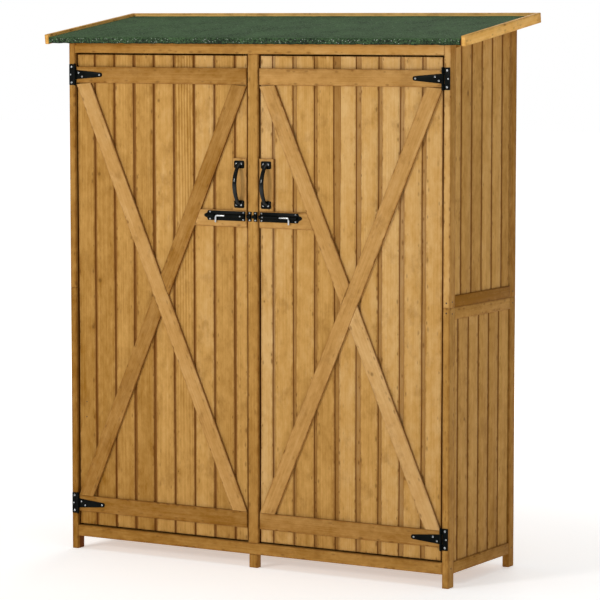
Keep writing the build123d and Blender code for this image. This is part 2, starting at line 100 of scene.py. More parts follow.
def stained_fir(name, pale, honey, amber, dusk):
    """Planed fir under a thin stain. The eye sees soft clouds and dusky patches where the stain took
    unevenly, faint streaks along the grain, a few knots, and dark smudged edges where the stain collected.
    The seam share adds dark joints and painted shade, and the tone carries painted shade towards the foot."""
    noise_sizes = {
        "cloud": (170.0, 55.0, 55.0),
        "mottle": (34.0, 18.0, 18.0),
        "streak": (420.0, 3.6, 3.6),
        "patch": (85.0, 65.0, 65.0),
        "sway": (460.0, 70.0, 70.0),
    }
    shade_depths = {"cloud": 0.6, "mottle": 0.62, "streak": 0.55}
    mark_sizes = {
        "knot": ((95.0, 360.0, 1.0), (6.5, 8.0, 1.0), 0.87),
        "smudge": ((17.0, 33.0, 1.0), (3.2, 7.0, 1.0), 0.62),
    }
    mark_zones = {"core": (0.2, 1.3), "halo": (0.8, 4.5)}
    mark_shift = (37.0, 53.0, 0.0)
    mark_growth, mark_least = 0.9, 0.4
    ring_width = 9.5  # real rings are 2 to 4 mm wide, drawn wider to show from a few metres away
    pith_least, pith_spread, pith_sway = (70.0, 15.0, 0.0), (90.0, 30.0, 0.0), (9.0, 5.0, 0.0)
    grain_lean = 0.006
    knot_bend, knot_shade, knot_stain = 1.2, 0.12, 0.6
    honey_place = 0.45
    ragged_edge = 16.0
    timber_spacing = 7000.0
    material, tree, shader = new_material(name)
    grain = add(tree, "Attribute", attribute_name="grain").outputs["Vector"]
    half = add(tree, "Attribute", attribute_name="half").outputs["Vector"]
    draw = add(tree, "Attribute", attribute_name="draw").outputs["Vector"]
    look = add(tree, "SeparateXYZ", {0: add(tree, "Attribute", attribute_name="look").outputs["Vector"]})
    tone, figure, seam_stain_and_shade = look.outputs
    along, across, depth = add(tree, "SeparateXYZ", {0: grain}).outputs
    draws = add(tree, "SeparateXYZ", {0: draw}).outputs
    apart = add(tree, "VectorMath", {0: draw, 1: (timber_spacing,) * 3, 2: grain}, operation="MULTIPLY_ADD")

    noises = {}
    for kind, size in noise_sizes.items():
        place = add(tree, "VectorMath", {0: apart, 1: size}, operation="DIVIDE")
        uneven = {"Vector": place, "Scale": 1.0, "Detail": 5.0, "Roughness": 0.66}
        noises[kind] = add(tree, "TexNoise", uneven)

    girth = add(tree, "Math", {0: across, 1: depth}, operation="ADD")
    flat = add(tree, "CombineXYZ", {0: girth, 1: along})
    marks = {}
    for kind, (cell, reach, rarity) in mark_sizes.items():
        scaled = add(tree, "VectorMath", {0: flat, 1: cell}, operation="DIVIDE")
        place = add(tree, "VectorMath", {0: draw, 1: mark_shift, 2: scaled}, operation="MULTIPLY_ADD")
        cells = add(tree, "TexVoronoi", {"Vector": place, "Scale": 1.0}, voronoi_dimensions="2D")
        away = add(tree, "VectorMath", {0: place, 1: cells.outputs["Position"]}, operation="SUBTRACT")
        away_mm = add(tree, "VectorMath", {0: away, 1: cell}, operation="MULTIPLY")
        shares = add(tree, "VectorMath", {0: away_mm, 1: reach}, operation="DIVIDE")
        near = add(tree, "VectorMath", {0: shares}, operation="LENGTH").outputs["Value"]
        chance, size, _ = add(tree, "SeparateColor", {0: cells.outputs["Color"]}).outputs
        there = add(tree, "Math", {0: chance, 1: rarity}, operation="GREATER_THAN")
        larger = add(tree, "Math", {0: size, 1: mark_growth, 2: mark_least}, operation="MULTIPLY_ADD")
        sized = add(tree, "Math", {0: near, 1: larger}, operation="DIVIDE")
        for part, (inner, outer) in mark_zones.items():
            edge = add(
                tree, "MapRange",
                {"Value": sized, "From Min": inner, "From Max": outer, "To Min": 1.0, "To Max": 0.0},
                interpolation_type="SMOOTHSTEP",
            )
            marks[kind, part] = add(tree, "Math", {0: edge, 1: there}, operation="MULTIPLY")

    pith_draw = add(tree, "VectorMath", {0: draw, 1: pith_spread, 2: pith_least}, operation="MULTIPLY_ADD")
    sway = noises["sway"].outputs[1]
    pith = add(tree, "VectorMath", {0: sway, 1: pith_sway, 2: pith_draw}, operation="MULTIPLY_ADD")
    lean_draw = {0: draws[2], 1: 2 * grain_lean, 2: -grain_lean}
    lean_share = add(tree, "Math", lean_draw, operation="MULTIPLY_ADD")
    leaning = add(tree, "Math", {0: along, 1: lean_share, 2: across}, operation="MULTIPLY_ADD")
    section = add(tree, "CombineXYZ", {0: leaning, 1: depth})
    from_pith = add(tree, "VectorMath", {0: section, 1: pith}, operation="ADD")
    pith_reach = add(tree, "VectorMath", {0: from_pith}, operation="LENGTH").outputs["Value"]
    ring_count = add(tree, "Math", {0: pith_reach, 1: ring_width}, operation="DIVIDE")
    bent_rings = {0: marks["knot", "halo"], 1: knot_bend, 2: ring_count}
    bent_count = add(tree, "Math", bent_rings, operation="MULTIPLY_ADD")
    ring_turn = add(tree, "Math", {0: bent_count, 1: math.tau}, operation="MULTIPLY")
    ring_wave = add(tree, "Math", {0: ring_turn}, operation="SINE")
    ring = add(tree, "Math", {0: ring_wave, 1: 0.5, 2: 0.5}, operation="MULTIPLY_ADD")
    ring_depth = add(tree, "Math", {0: ring, 1: figure}, operation="MULTIPLY")

    shade = add(tree, "Math", {0: ring_depth, 1: tone}, operation="ADD")
    for kind, share in shade_depths.items():
        centred = add(tree, "Math", {0: noises[kind], 1: 0.5}, operation="SUBTRACT")
        shade = add(tree, "Math", {0: centred, 1: share, 2: shade}, operation="MULTIPLY_ADD")
    shade = add(tree, "Math", {0: marks["knot", "halo"], 1: knot_shade, 2: shade}, operation="MULTIPLY_ADD")
    stain = add(tree, "ValToRGB", {0: shade})
    stain.color_ramp.elements[0].color = linear(pale)
    stain.color_ramp.elements[1].color = linear(amber)
    stain.color_ramp.elements.new(honey_place).color = linear(honey)
    dusky = add(
        tree, "MapRange",
        {"Value": noises["patch"], "From Min": 0.52, "From Max": 0.72, "To Min": 0.0, "To Max": 0.4},
        interpolation_type="SMOOTHSTEP",
    )
    patched = add(tree, "MixRGB", {"Fac": dusky, "Color1": stain, "Color2": linear(dusk)})
    inside = add(tree, "VectorMath", {0: grain}, operation="ABSOLUTE")
    to_edge = add(tree, "VectorMath", {0: half, 1: inside}, operation="SUBTRACT")
    to_end, to_side, to_face = add(tree, "SeparateXYZ", {0: to_edge}).outputs
    nearer = add(tree, "Math", {0: to_end, 1: to_side}, operation="MINIMUM")
    farther = add(tree, "Math", {0: to_end, 1: to_side}, operation="MAXIMUM")
    next_edge = add(tree, "Math", {0: farther, 1: to_face}, operation="MINIMUM")
    to_arris = add(tree, "Math", {0: nearer, 1: next_edge}, operation="MAXIMUM")
    ragged = add(tree, "Math", {0: noises["mottle"], 1: -ragged_edge, 2: to_arris}, operation="MULTIPLY_ADD")
    arris_stain = add(
        tree, "MapRange",
        {"Value": ragged, "From Min": -9.0, "From Max": -2.0, "To Min": 0.34, "To Max": 0.0},
        interpolation_type="SMOOTHSTEP",
    )
    by_edge = add(
        tree, "MapRange",
        {"Value": to_arris, "From Min": 2.0, "From Max": 18.0, "To Min": 0.62, "To Max": 0.05},
    )
    knot_share = add(tree, "Math", {0: marks["knot", "core"], 1: knot_stain}, operation="MULTIPLY")
    smudge_share = add(tree, "Math", {0: marks["smudge", "core"], 1: by_edge}, operation="MULTIPLY")
    marked = add(tree, "Math", {0: knot_share, 1: smudge_share}, operation="MAXIMUM")
    smudged = add(tree, "MixRGB", {"Fac": marked, "Color1": patched, "Color2": linear("#5F3A14")})
    # Stain and painted shade: the seam share is dark stain at board joints, and painted shade on jamb faces
    # in the door gaps and on batten side faces.
    stain_and_shade = add(tree, "Math", {0: seam_stain_and_shade, 1: arris_stain}, operation="MAXIMUM")
    seamed_and_shaded = add(tree, "MixRGB", {"Fac": stain_and_shade, "Color1": smudged, "Color2": linear("#6A390D")})
    tree.links.new(seamed_and_shaded.outputs[0], shader.inputs["Base Color"])

    dulled = add(
        tree, "MapRange",
        {"Value": noises["streak"], "From Min": 0.3, "From Max": 0.7, "To Min": 0.58, "To Max": 0.72},
    )
    tree.links.new(dulled.outputs[0], shader.inputs["Roughness"])
    relief = add(tree, "Math", {0: ring_depth, 1: noises["streak"]}, operation="ADD")
    bump = add(tree, "Bump", {"Strength": 0.25, "Distance": 0.5 * MM, "Height": relief})
    tree.links.new(bump.outputs[0], shader.inputs["Normal"])
    shader.inputs["IOR"].default_value = 1.48
    shader.inputs["Specular IOR Level"].default_value = 0.06
    return material


def new_pile():
    """Points, faces and marks gathered for one piece."""
    return {key: [] for key in ("points", "faces", "rounded", *GRAIN_MARKS)}


def solids(node, least_edge=MERGE):
    """A CAD node's solids, each as its points in mm and its flat faces, in order of place."""
    mesh = bmesh.new()
    mesh.from_mesh(frame["nodes"][node].data)
    bmesh.ops.remove_doubles(mesh, verts=mesh.verts, dist=MERGE)
    bmesh.ops.dissolve_limit(mesh, angle_limit=FLAT_ANGLE, verts=mesh.verts, edges=mesh.edges)
    bmesh.ops.remove_doubles(mesh, verts=mesh.verts, dist=least_edge)
    mesh.verts.index_update()
    found, seen = [], set()
    for first in mesh.verts:
        if first.index in seen:
            continue
        island, waiting = {}, [first]
        seen.add(first.index)
        while waiting:
            vert = waiting.pop()
            island[vert.index] = vert.co / MM
            for edge in vert.link_edges:
                other = edge.other_vert(vert)
                if other.index not in seen:
                    seen.add(other.index)
                    waiting.append(other)
        order = {index: place for place, index in enumerate(island)}
        faces = [[order[v.index] for v in face.verts] for face in mesh.faces if face.verts[0].index in order]
        found.append((list(island.values()), faces))
    mesh.free()

    def height_then_place(solid):
        """The solid's mean z, x and y, to whole millimetres."""
        return [round(sum(point[axis] for point in solid[0]) / len(solid[0])) for axis in (2, 0, 1)]

    return sorted(found, key=height_then_place)


def lay_eased(pile, points, faces, ease, cuts=()):
    """Adds a solid with its edges rounded and its faces cut at each y, and returns the points it added."""
    block = bmesh.new()
    verts = [block.verts.new(point) for point in points]
    for face in faces:
        block.faces.new([verts[i] for i in face])
    for y in cuts:
        whole = block.verts[:] + block.edges[:] + block.faces[:]
        bmesh.ops.bisect_plane(block, geom=whole, plane_co=(0, y, 0), plane_no=(0, 1, 0))
    bmesh.ops.recalc_face_normals(block, faces=block.faces)
    eased = bmesh.ops.bevel(
        block, geom=block.edges[:], offset=ease, offset_type="OFFSET", segments=2, profile=0.5,
        affect="EDGES", clamp_overlap=True,
    )
    arrises = set(eased["faces"])
    block.verts.index_update()
    start = len(pile["points"])
    added = [vert.co.copy() for vert in block.verts]
    pile["points"] += added
    pile["faces"] += [[start + vert.index for vert in face.verts] for face in block.faces]
    pile["rounded"] += [face in arrises for face in block.faces]
    block.free()
    return added


def upward(direction):
    """The direction, turned so that its largest part is positive."""
    return direction.normalized() * (1 if max(direction, key=abs) > 0 else -1)


def mark_grain(pile, points, axes, tone, figure, seam_stains_and_shade, face_edges=None):
    """Marks a timber's points with their place along, across and into it, its half sizes and its draws."""
    local = [Vector([point.dot(axis) for axis in axes]) for point in points]
    low = Vector([min(places) for places in zip(*local)])
    high = Vector([max(places) for places in zip(*local)])
    low.y, high.y = face_edges or (low.y, high.y)
    draw = Vector([dice.random() for _ in range(3)])
    for point, place, seam_stain_and_shade in zip(points, local, seam_stains_and_shade):
        pile["grain"].append(place - (low + high) / 2)
        pile["half"].append((high - low) / 2)
        pile["draw"].append(draw)
        height = point.z / WALL_TOP
        # Painted shade, deepening towards the foot.
        foot_shade = FOOT_PAINTED_SHADE * max(0.0, 1 - height) ** FOOT_FADE
        pile["look"].append(Vector((tone + foot_shade, figure * height, seam_stain_and_shade)))


def face_area(points, face):
    """The vector area of a flat face."""
    return sum((points[face[i - 1]].cross(points[face[i]]) for i in range(len(face))), Vector()) / 2


def lay_timber(pile, solid, tone, side_painted_shade=0.0, rebate=None):
    """Adds one sawn timber with eased arrises; the grain runs along its longest edge. A side painted shade,
    if given, darkens both side faces. A rebate is a side face that is painted dark as shade beyond a depth:
    (x of the face, y where the dark starts, share of painted shade)."""
    points, faces = solid
    edges = [points[face[i]] - points[face[i - 1]] for face in faces for i in range(len(face))]
    along = upward(max(edges, key=lambda edge: round(edge.length, 2)))
    sides = [face_area(points, face) for face in faces]
    sides = [side for side in sides if abs(side.normalized().dot(along)) < END_FACING]
    depth = upward(max(sides, key=lambda side: round(side.length)))
    axes = (along, depth.cross(along).normalized(), depth)
    added = lay_eased(pile, points, faces, ARRIS, rebate[1:2] if rebate else ())
    reach = [point.dot(axes[1]) for point in added]
    low, high = min(reach) + ON_FACE, max(reach) - ON_FACE
    seam_stains_and_shade = [0.0 if low < place < high else side_painted_shade for place in reach]
    # Painted shade: the rebate's face is darkened beyond the given depth, where the door gap is in shade.
    if rebate:
        face, dark_from, dark = rebate
        hidden = [abs(point.x - face) < ON_FACE and point.y > dark_from for point in added]
        seam_stains_and_shade = [dark if inside else seam_stain_and_shade for inside, seam_stain_and_shade in zip(hidden, seam_stains_and_shade)]
    own_tone = tone + dice.uniform(-TONE_SPREAD, TONE_SPREAD)
    own_figure = TIMBER_FIGURE * dice.uniform(*FIGURE_SPREAD)
    mark_grain(pile, added, axes, own_tone, own_figure, seam_stains_and_shade)


def make_piece(name, pile, material):
    """A mesh object made of what a pile holds, with its faces turned outward."""
    mesh = bpy.data.meshes.new(name)
    mesh.from_pydata([Vector(point) * MM for point in pile["points"]], [], pile["faces"])
    mesh.polygons.foreach_set("use_smooth", pile["rounded"])
    for mark in GRAIN_MARKS:
        if pile[mark]:
            layer = mesh.attributes.new(mark, "FLOAT_VECTOR", "POINT")
            layer.data.foreach_set("vector", [part for value in pile[mark] for part in value])
    turned = bmesh.new()
    turned.from_mesh(mesh)
    bmesh.ops.recalc_face_normals(turned, faces=turned.faces)
    turned.to_mesh(mesh)
    turned.free()
    mesh.set_sharp_from_angle(angle=SHARP_ANGLE)
    mesh.materials.append(material)
    made = bpy.data.objects.new(name, mesh)
    bpy.context.scene.collection.objects.link(made)
    return made


frame_fir = stained_fir("stained_fir_frame", "#D0A66A", "#BA8B48", "#895B19", "#845824")
FRAME_TONES = {
    "lower_corner_posts": (0.84, 0.38, 0.5, 0.62),
    "upper_corner_posts": (0.74, 0.25, 0.4, 0.34),
}
OUTER_DEEPER = {"lower_corner_posts": -0.05, "upper_corner_posts": 0.42}
# Painted shade on the post faces beside the doors, behind the board face, where the gap is in shade.
REBATE_PAINTED_SHADE = 1.0
board_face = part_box("left_door_boards")[0].y / MM
for node, tones in FRAME_TONES.items():
    pile = new_pile()
    for solid, tone in zip(solids(node), tones):
        jamb = min((point.x for point in solid[0]), key=abs)
        outer = max((point.x for point in solid[0]), key=abs)
        start = len(pile["points"])
        lay_timber(pile, solid, tone, rebate=(jamb, board_face + ARRIS, REBATE_PAINTED_SHADE))
        for look, point in zip(pile["look"][start:], pile["points"][start:]):
            look.x += OUTER_DEEPER[node] * (abs(point.x - outer) < ON_FACE)
    posts = make_piece(node + "_fir", pile, frame_fir)
    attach(posts, "shed")
    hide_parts(node)

# Rails and centre posts
# Planed fir rails that tie the corner posts at the foot, the middle and the eaves, and the upright between
# the doors. They are the same stock as the posts, nailed between them. The upper side rails are the darkest:
# the middle rails took the most stain, and on the eaves rails the dark tone is painted shade under the barge
# boards. The front ones are deeper towards the left.
DOOR_MIDDLE = 786.0
RAIL_TONES = {
    "front_sill_rail": 0.54,
    "front_head_rail": 0.58,
    "front_centre_post": 0.55,
    "left_lower_rails": 0.55,
    # The upper side rails' dark tone is stain on the middle rails and painted shade on the eaves rails.
    "left_upper_rails": 1.0,
    "right_lower_rails": 0.55,
    "right_upper_rails": 1.0,
    "back_lower_rails": 0.5,
    "back_upper_rails": 0.6,
    "back_centre_posts": 0.4,
    "floor_bearers": 0.5,
}
DEEPER_LEFT = {"front_sill_rail": 0.1, "front_head_rail": 0.28}
rail_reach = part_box("front_head_rail")[1].x / MM
for node, tone in RAIL_TONES.items():
    pile = new_pile()
    for solid in solids(node):
        beside_doors = node == "front_centre_post" and max(point.z for point in solid[0]) > DOOR_MIDDLE
        jamb = max(point.x for point in solid[0])
        rebate = (jamb, board_face + ARRIS, REBATE_PAINTED_SHADE) if beside_doors else None
        lay_timber(pile, solid, tone, rebate=rebate)
    for look, point in zip(pile["look"], pile["points"]):
        look.x -= DEEPER_LEFT.get(node, 0.0) * point.x / rail_reach
    rails = make_piece(node + "_fir", pile, frame_fir)
    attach(rails, "shed")
    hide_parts(node)

# Wall cladding
# Upright fir boards, tongued and grooved, with a small chamfer along each edge that reads as a dark V at the
# joints. They are pinned from inside between posts and rails, and the floor is laid with the same boards.
CHAMFER = 2.2
CHAMFER_LIP = 0.5
EDGE_CHAMFER = 4.5
JOINT_GAP = 3.0
TONGUE_GRIP = 4.0
TONGUE_PLAY = 0.2
STATION_SPACING = 75.0
EDGE_WOBBLE = 0.5
SLOW_WANDER, QUICK_WANDER, QUICK_SHARE = 9.0, 23.0, 0.6
FACE_LIFT = 0.4
BOARD_TONE_SPREAD = 0.12
BOARD_FIGURE = 0.15
GROOVE_FROM_SHARE, GROOVE_TO_SHARE = 0.1, 0.9
AT_END = 1.0
WALL_TONE = 0.53
TONGUE_FROM_SHARE, TONGUE_TO_SHARE = 0.26, 0.6
FACE_STAIN, CHAMFER_STAIN, TONGUE_STAIN, GROOVE_STAIN, BACK_STAIN = 0.0, 0.85, 0.7, 0.5, 0.1


def lay_rings(pile, rings, rounded):
    """Joins closed rings of points into a skin with capped ends, and returns the points that were added."""
    start, count = len(pile["points"]), len(rings[0])
    added = [Vector(point) for ring in rings for point in ring]
    pile["points"] += added
    for row in range(len(rings) - 1):
        for place in range(count):
            here, after = start + row * count, start + (row + 1) * count
            beside = (place + 1) % count
            pile["faces"].append([here + place, here + beside, after + beside, after + place])
            pile["rounded"].append(rounded)
    last = start + (len(rings) - 1) * count
    pile["faces"] += [list(range(start, start + count)), list(range(last, last + count))]
    pile["rounded"] += [False, False]
    return added


def board_section(low, high, thickness, tongue, groove, tongue_stain, edge_chamfer):
    """Outline of a board across its length: (across, depth, share of dark stain) points."""
    tongue_top, tongue_foot = thickness * TONGUE_FROM_SHARE, thickness * TONGUE_TO_SHARE
    low_ease = CHAMFER if groove else edge_chamfer
    high_ease = CHAMFER if tongue else edge_chamfer
    outline = [(low + low_ease, 0.0, FACE_STAIN), (high - high_ease, 0.0, FACE_STAIN)]
    outline += [(high - high_ease + CHAMFER_LIP, CHAMFER_LIP, CHAMFER_STAIN)]
    outline += [(high, high_ease, CHAMFER_STAIN)]
    if tongue:
        outline += [(high, tongue_top, CHAMFER_STAIN), (high + TONGUE_PLAY, tongue_top, tongue_stain)]
        outline += [(high + tongue, tongue_top, tongue_stain), (high + tongue, tongue_foot, GROOVE_STAIN)]
        outline += [(high, tongue_foot, GROOVE_STAIN)]
    outline += [(high, thickness, BACK_STAIN), (low, thickness, BACK_STAIN)]
    if groove:
        tongue_top, tongue_foot = tongue_top - TONGUE_PLAY, tongue_foot + TONGUE_PLAY
        outline += [(low, tongue_foot, GROOVE_STAIN), (low + groove, tongue_foot, GROOVE_STAIN)]
        outline += [(low + groove, tongue_top, GROOVE_STAIN), (low, tongue_top, CHAMFER_STAIN)]
    outline += [(low, low_ease, CHAMFER_STAIN)]
    return outline + [(low + low_ease - CHAMFER_LIP, CHAMFER_LIP, CHAMFER_STAIN)]


def lay_board(pile, axes, face, foot_outline, head_outline, start, finish, slope, tone, figure):
    """Adds one board along its length in short stations, between its outlines at foot and head."""
    along, across, depth = axes
    middle = sum(place for place, _, _ in foot_outline[:2]) / 2
    count = max(2, round((finish - start) / STATION_SPACING))
    phases = [dice.uniform(0, math.tau) for _ in range(4)]
    lift = dice.uniform(0, FACE_LIFT)
    rings, seam_stains_and_shade = [], []
    for station in range(count + 1):
        share = station / count
        ring = []
        for (foot_place, deep, seam_stain_and_shade), (head_place, _, _) in zip(foot_outline, head_outline):
            place = foot_place + (head_place - foot_place) * share
            side = 0 if place < middle else 2
            wander = math.sin(SLOW_WANDER * share + phases[side])
            wander += QUICK_SHARE * math.sin(QUICK_WANDER * share + phases[side + 1])
            end = finish + slope * (place - middle)
            length = start + (end - start) * share
            sunk = face + lift + deep if deep == 0 else face + deep
            ring.append(along * length + across * (place + EDGE_WOBBLE * wander) + depth * sunk)
            seam_stains_and_shade.append(seam_stain_and_shade)
        rings.append(ring)
    added = lay_rings(pile, rings, False)
    face_edges = [point.dot(across) for point in rings[count // 2][:2]]
    mark_grain(pile, added, axes, tone, figure, seam_stains_and_shade, face_edges)


def lay_panel(
    pile, solid, axes, gaps=None, tone=0.0, tones=None, figures=None, tongue_stain=TONGUE_STAIN,
    edge_chamfer=EDGE_CHAMFER, last_cut=0.0,
):
    """Adds a row of boards in the place of a grooved panel, with gaps of (foot, head) width at the joints."""
    points = solid[0]
    along, across, depth = axes
    deep = [point.dot(depth) for point in points]
    sides = [point.dot(across) for point in points]
    face, thickness = min(deep), max(deep) - min(deep)
    shares = [(d - face) / thickness for d in deep]
    joints = {round(s, 1) for s, d in zip(sides, shares) if GROOVE_FROM_SHARE < d < GROOVE_TO_SHARE}
    ends = (min(sides), max(sides))
    edges = [ends[0], *sorted(joints), ends[1] - last_cut]
    gaps = [(0.0, 0.0), *(gaps or [(JOINT_GAP, JOINT_GAP)] * len(joints)), (0.0, 0.0)]
    start = min(point.dot(along) for point in points)
    tops = [max(p.dot(along) for p, s in zip(points, sides) if abs(s - end) < AT_END) for end in ends]
    slope = (tops[1] - tops[0]) / (ends[1] - ends[0])
    for board in range(len(edges) - 1):
        outlines = []
        for level in (0, 1):
            low = edges[board] + gaps[board][level] / 2
            high = edges[board + 1] - gaps[board + 1][level] / 2
            tongue = gaps[board + 1][level] + TONGUE_GRIP if board < len(edges) - 2 else 0.0
            groove = TONGUE_GRIP + TONGUE_PLAY if board > 0 else 0.0
            outlines.append(board_section(low, high, thickness, tongue, groove, tongue_stain, edge_chamfer))
        finish = tops[0] + slope * ((edges[board] + edges[board + 1]) / 2 - edges[0])
        own_tone = tones[board] if tones else dice.uniform(-BOARD_TONE_SPREAD, BOARD_TONE_SPREAD)
        own_figure = figures[board] if figures else BOARD_FIGURE * dice.random() ** 2
        lay_board(pile, axes, face, *outlines, start, finish, slope, tone + own_tone, own_figure)


RIGHT, INWARD, UP = Vector((1, 0, 0)), Vector((0, 1, 0)), Vector((0, 0, 1))
cladding_fir = stained_fir("stained_fir_cladding", "#D5AE75", "#C0924F", "#8D5F1B", "#885E26")
WALL_AXES = {
    "left_lower_boards": (UP, INWARD, RIGHT),
    "left_upper_boards": (UP, INWARD, RIGHT),
    "right_lower_boards": (UP, INWARD, -RIGHT),
    "right_upper_boards": (UP, INWARD, -RIGHT),
    "back_boards": (UP, RIGHT, -INWARD),
    "floor_boards": (INWARD, RIGHT, -UP),
}
for node, axes in WALL_AXES.items():
    pile = new_pile()
    for solid in solids(node):
        lay_panel(pile, solid, axes, tone=WALL_TONE)
    boards = make_piece(node + "_fir", pile, cladding_fir)
    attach(boards, "shed")
    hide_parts(node)

# Roof deck, barge boards and back trim
# Fir boards laid across the shed, seen only from below, edged by planed barge boards down the slope and a
# trim board behind. All are nailed on, and the edging stands above the deck, so that the felt ends there.
felt_solid = solids("roof_felt")[0]
felt_edges = [felt_solid[0][face[1]] - felt_solid[0][face[0]] for face in felt_solid[1]]
SLOPE_UP = upward(max(felt_edges, key=lambda edge: edge.y))
ROOF_UP = RIGHT.cross(SLOPE_UP)
DECK_SHORT = 16.0
DECK_TONE = 0.6
pile = new_pile()
for points, faces in solids("roof_deck"):
    shortened = [point - RIGHT * math.copysign(DECK_SHORT, point.x) for point in points]
    lay_panel(pile, (shortened, faces), (RIGHT, SLOPE_UP, ROOF_UP), tone=DECK_TONE)
deck = make_piece("roof_deck_fir", pile, cladding_fir)
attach(deck, "shed")
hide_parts("roof_deck")
trim_fir = stained_fir("stained_fir_trim", "#EDBD70", "#DCA24C", "#9A6A28", "#8A612D")
TRIM_TONES = {"barge_boards": 0.28, "back_trim_board": 0.0}
for node, tone in TRIM_TONES.items():
    pile = new_pile()
    for solid in solids(node):
        lay_timber(pile, solid, tone)
    trim = make_piece(node + "_fir", pile, trim_fir)
    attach(trim, "shed")
    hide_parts(node)

# Roofing felt
# Bitumen felt faced with crushed green slate, laid over the deck and turned down over its front edge.
# The fold sheds its grit, so the lip is darker, with pale specks, a ragged foot and black bitumen where cut.
# That black along the lip's foot and at its right end is also painted shade, under the lip and in the gap by
# the barge board.
FELT_THICKNESS = 2.5
FOLD_RADIUS = 6.0
FELT_STATION = 9.0
TOP_STATIONS = 14
FOLD_STEPS = 5
LIP_STEPS = 4
TOP_RIPPLE = 0.5
TOP_RIPPLE_WIDE, TOP_RIPPLE_DEEP, TOP_LAYER = 90.0, 70.0, 3.0
LIP_RIPPLE = 1.3
LIP_RIPPLE_WIDE, LIP_RIPPLE_HIGH, LIP_LAYER = 45.0, 30.0, 7.0
FOOT_RAGGED = 1.6
FOOT_RAGGED_WIDE, FOOT_LAYER = 22.0, 11.0
AT_FOOT = 1.0
END_DRAW = 3.0
END_REACH = 70.0
felt_x = [point.x for point in felt_solid[0]]
felt_run = [point.dot(SLOPE_UP) for point in felt_solid[0]]
felt_rise = [point.dot(ROOF_UP) for point in felt_solid[0]]
front, back = min(felt_run), max(felt_run)
foot, top = min(felt_rise), max(felt_rise)


def felt_section(sunk):
    """Half of the felt's section, from its back edge over the fold to the lip: (run, rise, lip share)."""
    fold = FOLD_RADIUS - sunk
    runs = [back + (front + FOLD_RADIUS - back) * step / TOP_STATIONS for step in range(TOP_STATIONS)]
    half = [(run, top - sunk, 0.0) for run in runs]
    for step in range(FOLD_STEPS + 1):
        turn = math.radians(90) * step / FOLD_STEPS
        run = front + FOLD_RADIUS - fold * math.sin(turn)
        half.append((run, top - FOLD_RADIUS + fold * math.cos(turn), step / FOLD_STEPS))
    drop = top - FOLD_RADIUS - foot
    falls = [foot + drop * (1 - step / LIP_STEPS) for step in range(1, LIP_STEPS + 1)]
    return half + [(front + sunk, rise, 1.0) for rise in falls]


section = felt_section(0.0) + felt_section(FELT_THICKNESS)[::-1]
columns = round((max(felt_x) - min(felt_x)) / FELT_STATION)
rings, lips, bitumen_and_shade = [], [], []
for column in range(columns + 1):
    x = min(felt_x) + (max(felt_x) - min(felt_x)) * column / columns
    ring = []
    for run, rise, lip in section:
        drawn = END_DRAW * max(0.0, 1 - (run - front) / END_REACH) * (column == columns)
        top_spot = Vector((x / TOP_RIPPLE_WIDE, run / TOP_RIPPLE_DEEP, TOP_LAYER))
        lip_spot = Vector((x / LIP_RIPPLE_WIDE, LIP_LAYER, rise / LIP_RIPPLE_HIGH))
        foot_spot = Vector((x / FOOT_RAGGED_WIDE, FOOT_LAYER, 0.0))
        top_wave = noise.noise(top_spot) * TOP_RIPPLE
        lip_wave = noise.noise(lip_spot) * LIP_RIPPLE * lip
        ragged = noise.noise(foot_spot) * FOOT_RAGGED * max(0.0, (top - rise) / (top - foot)) * lip
        raised = rise + top_wave * (1 - lip) + ragged
        ring.append(RIGHT * (x - drawn) + SLOPE_UP * (run - lip_wave) + ROOF_UP * raised)
        lips.append(lip)
        # Cut bitumen and painted shade: the lip's foot and right end are painted black.
        bitumen_and_shade.append(max(lip * (column == columns), float(rise - foot < AT_FOOT)))
    rings.append(ring)
pile = new_pile()
lay_rings(pile, rings, True)

# Crushed slate on bitumen: matt green grains of slightly different greens, with stray pale grit.
mineral_felt, tree, shader = new_material("mineral_felt_green")
GRAIN_SIZE = 3.2  # real grains are about 1 mm across, drawn larger to show
GRAIN_SHARE = 0.6
PATCH_SIZE = 120.0
LIP_DARKER = 0.34
SPECK_SPACING = 6.5
SPECK_REACH = 0.24
SPECK_RARITY, LIP_MORE_SPECKS = 0.84, 0.24
SPECK_BRIGHT, LIP_BRIGHTER = 0.28, 0.1
lip = add(tree, "Attribute", attribute_name="lip").outputs["Fac"]
place = add(tree, "TexCoord").outputs["Object"]
grains = add(tree, "TexVoronoi", {"Vector": place, "Scale": 1 / (GRAIN_SIZE * MM)})
grain_draw = add(tree, "SeparateColor", {0: grains.outputs["Color"]}).outputs[0]
patchy = {"Vector": place, "Scale": 1 / (PATCH_SIZE * MM), "Detail": 5.0, "Roughness": 0.65}
patches = add(tree, "TexNoise", patchy)
mixed = add(tree, "Math", {0: grain_draw, 1: GRAIN_SHARE, 2: patches}, operation="MULTIPLY_ADD")
darker = add(tree, "Math", {0: lip, 1: -LIP_DARKER, 2: mixed}, operation="MULTIPLY_ADD")
greens = add(tree, "ValToRGB", {0: darker})
greens.color_ramp.elements[0].position = 0.3
greens.color_ramp.elements[0].color = linear("#20291E")
greens.color_ramp.elements[1].position = 1.0
greens.color_ramp.elements[1].color = linear("#4F6B46")
specks = add(tree, "TexVoronoi", {"Vector": place, "Scale": 1 / (SPECK_SPACING * MM)})
speck_draw = add(tree, "SeparateColor", {0: specks.outputs["Color"]}).outputs[1]
speck_chance = add(tree, "Math", {0: lip, 1: LIP_MORE_SPECKS, 2: speck_draw}, operation="MULTIPLY_ADD")
speck_there = add(tree, "Math", {0: speck_chance, 1: SPECK_RARITY}, operation="GREATER_THAN")
speck_near = add(tree, "Math", {0: specks.outputs["Distance"], 1: SPECK_REACH}, operation="LESS_THAN")
speck = add(tree, "Math", {0: speck_there, 1: speck_near}, operation="MULTIPLY")
